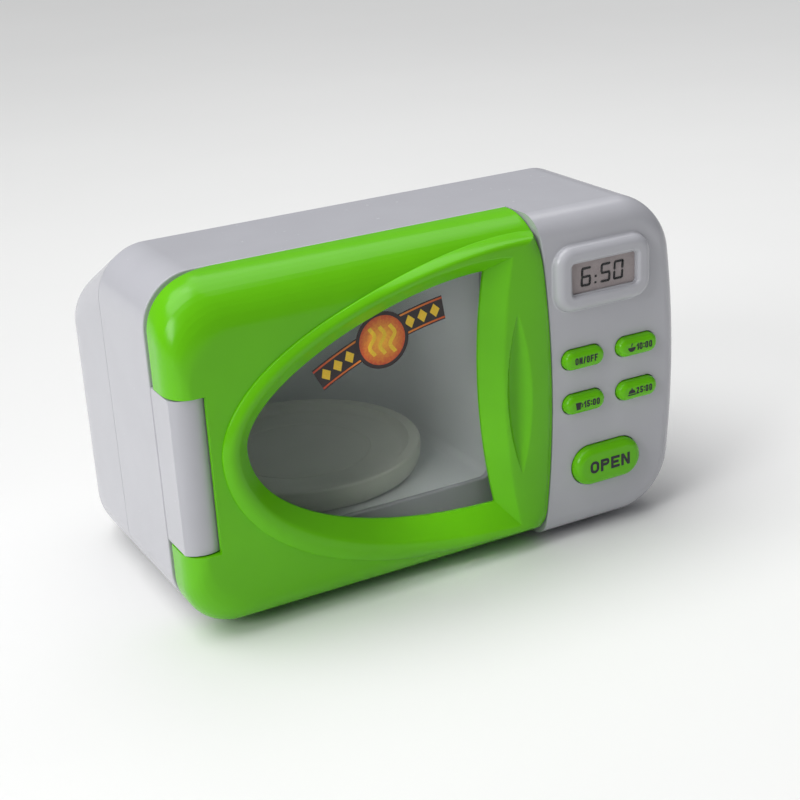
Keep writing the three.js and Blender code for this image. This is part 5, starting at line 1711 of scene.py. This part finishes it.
class Feet(bpy.types.Operator):
    """The four soft feet"""
    bl_idname = "toy_microwave.feet"
    bl_label = "Feet"

    def execute(self, context):
        solids = ["foot_front_left", "foot_front_right", "foot_back_left", "foot_back_right"]
        radius, head, peg, soft = 0.0065, 0.0037, FOOT_PEG, 0.001
        edge = [(radius - soft * (1 - math.sin(t)), soft * (1 - math.cos(t)))
                for t in np.linspace(0, QUARTER, 6)]
        profile = [(0, 0.0005), (0.0030, 0.0005), (0.0036, 0.0), *edge, (radius, head), (peg, head),
                   (peg, head + 0.0044), (peg - 0.0006, head + 0.005), (0, head + 0.005)]
        template = linked("foot_template", mesh_of("foot_template", turned(profile, 0.0, -FACE_Y, 48)))
        mesh = grown("soft_feet", scatter_tree(), "foot", {
            "Shape": template, "Turn": 0.0, "Axis": (0.0, 0.0, 1.0), "Seed": 1},
            [(*centre_of(solid)[:2], 0.0) for solid in solids])
        bpy.data.objects.remove(template)
        piece("soft_feet", mesh, "foot", "casing", solids)
        return {"FINISHED"}


class Latch(bpy.types.Operator):
    """The sliding latch and its return spring"""
    bl_idname = "toy_microwave.latch"
    bl_label = "Latch"

    def execute(self, context):
        low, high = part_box("latch_spring")
        wire = 0.00055
        mesh = grown("latch_coil", coil_tree(), "steel", {
            "Turns": 6.0, "Radius": (high.z - low.z) / 2 - wire, "Wire": wire,
            "Length": high.x - low.x - 2 * wire,
            "Centre": (low.x + wire, (low.y + high.y) / 2, (low.z + high.z) / 2)})
        coil = piece("latch_coil", mesh, "steel", "casing", ["latch_spring"])
        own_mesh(coil)
        dress("latch_slider", "nylon")
        return {"FINISHED"}


class InnerParts(bpy.types.Operator):
    """Board, speaker and batteries"""
    bl_idname = "toy_microwave.inner_parts"
    bl_label = "Inner parts"

    def execute(self, context):
        finishes = {
            "keypad_membrane": "silicone", "control_board": "board", "speaker": "dark", "battery_box": "dark",
            "battery_cell_1": "cell", "battery_cell_2": "cell", "battery_cell_3": "cell",
            "battery_contact_lower": "steel", "battery_contact_upper": "steel",
        }
        for name, key in finishes.items():
            dress(name, key)
        return {"FINISHED"}


class Stage(bpy.types.Operator):
    """Floor, lights and camera"""
    bl_idname = "toy_microwave.stage"
    bl_label = "Stage"

    def execute(self, context):
        s = context.scene.toy_stage
        self.floor(s)
        self.light("key_light", (-1.35, -0.55, 0.80), (0.0, 0.0, 0.07), 0.6, s.key_power)
        self.light("top_light", (0.25, 0.25, 1.25), (0.0, 0.0, 0.1), 1.0, s.top_power)
        self.light("fill_light", (1.1, -0.7, 0.55), (0.0, 0.0, 0.07), 0.9, s.fill_power)
        self.light("window_light", (-0.040, -0.045, 0.122), (0.060, 0.000, 0.050), 0.05, s.window_power, 80)
        self.light("sill_light", (-0.020, -0.160, 0.160), (0.002, -0.060, 0.027), 0.03, s.sill_power, 28)
        self.lamp("wide_light", "SUN", Vector((-0.42, 0.10, 0.90)).to_track_quat("Z", "Y"),
                  energy=s.sun, angle=math.radians(50))
        world = context.scene.world or bpy.data.worlds.new("even_light")
        context.scene.world = world
        world.use_nodes = True
        background = world.node_tree.nodes["Background"]
        background.inputs["Color"].default_value = (0.93, 0.95, 1.0, 1.0)
        background.inputs["Strength"].default_value = s.sky
        context.scene.view_settings.view_transform = "Standard"
        self.camera(s)
        return {"FINISHED"}

    def floor(self, s):
        made, tree, place = new_material("pale_floor")
        soft = noise(tree, place, 3.0, 3.0)
        shaded(made, {
            "Base Color": tones(tree, soft, s.floor_colour, 0.98, 1.0),
            "Roughness": spread(tree, noise(tree, place, 240.0), 0.55, 0.65)})
        mesh = bpy.data.meshes.new("floor")
        mesh.from_pydata([(x, z, 0) for x, z in rectangle(-6.0, 6.0, -6.0, 6.0)], [], [(0, 1, 2, 3)])
        mesh.materials.append(made)
        linked("floor", mesh)

    def lamp(self, name, kind, facing, **settings):
        """A light that is turned by a quaternion."""
        data = bpy.data.lights.new(name, kind)
        for key, value in settings.items():
            setattr(data, key, value)
        made = linked(name, data)
        made.rotation_mode = "QUATERNION"
        made.rotation_quaternion = facing
        return made

    def light(self, name, place, target, size, watts, angle=180):
        """A square light that the camera doesn't see."""
        facing = (Vector(target) - Vector(place)).to_track_quat("-Z", "Y")
        made = self.lamp(name, "AREA", facing, shape="SQUARE", size=size, energy=watts,
                         spread=math.radians(angle))
        made.location = place
        made.visible_camera = False

    def camera(self, s):
        """The photo's camera, from its place and the directions that it was solved for."""
        forward = Vector((0.42696, 0.82763, -0.36433)).normalized()
        up = Vector((0.22003, 0.29571, 0.92959))
        right = forward.cross(up).normalized()
        up = right.cross(forward)
        place = Vector((-0.3121, -0.6338, 0.3352))
        data = bpy.data.cameras.new("camera")
        data.sensor_width = 36.0
        data.lens = s.lens
        data.clip_start = 0.01
        made = linked("camera", data)
        made.matrix_world = Matrix((*zip(right, up, -forward, place), (0, 0, 0, 1)))
        bpy.context.scene.camera = made


PIECES = (
    FrontHousing, RearHousing, OvenLiner, DoorFrame, DoorWindow, Hinge, Display, Keys, KeyPrint, Turntable,
    BatteryCover, Fasteners, Feet, Latch, InnerParts, Stage,
)
GROUPS = {
    "toy_casing": CasingSizes, "toy_door": DoorSizes, "toy_panel": PanelSizes,
    "toy_finishes": Finishes, "toy_stage": StageSettings,
}


class MicrowavePanel(bpy.types.Panel):
    """Lists the pieces and their sizes"""
    bl_idname = "VIEW3D_PT_toy_microwave"
    bl_label = "Toy microwave"
    bl_space_type = "VIEW_3D"
    bl_region_type = "UI"
    bl_category = "Toy microwave"

    def draw(self, context):
        for operator in PIECES:
            self.layout.operator(operator.bl_idname)
        for name, group in GROUPS.items():
            box = self.layout.box()
            for key in group.__annotations__:
                box.prop(getattr(context.scene, name), key)


def register():
    for group in GROUPS.values():
        bpy.utils.register_class(group)
    for name, group in GROUPS.items():
        setattr(bpy.types.Scene, name, PointerProperty(type=group))
    for operator in (*PIECES, MicrowavePanel):
        bpy.utils.register_class(operator)


def unregister():
    for operator in reversed((*PIECES, MicrowavePanel)):
        bpy.utils.unregister_class(operator)
    for name in GROUPS:
        delattr(bpy.types.Scene, name)
    for group in reversed(GROUPS.values()):
        bpy.utils.unregister_class(group)


def main():
    register()
    for operator in PIECES:
        space, name = operator.bl_idname.split(".")
        getattr(getattr(bpy.ops, space), name)()


if __name__ == "__main__":
    main()
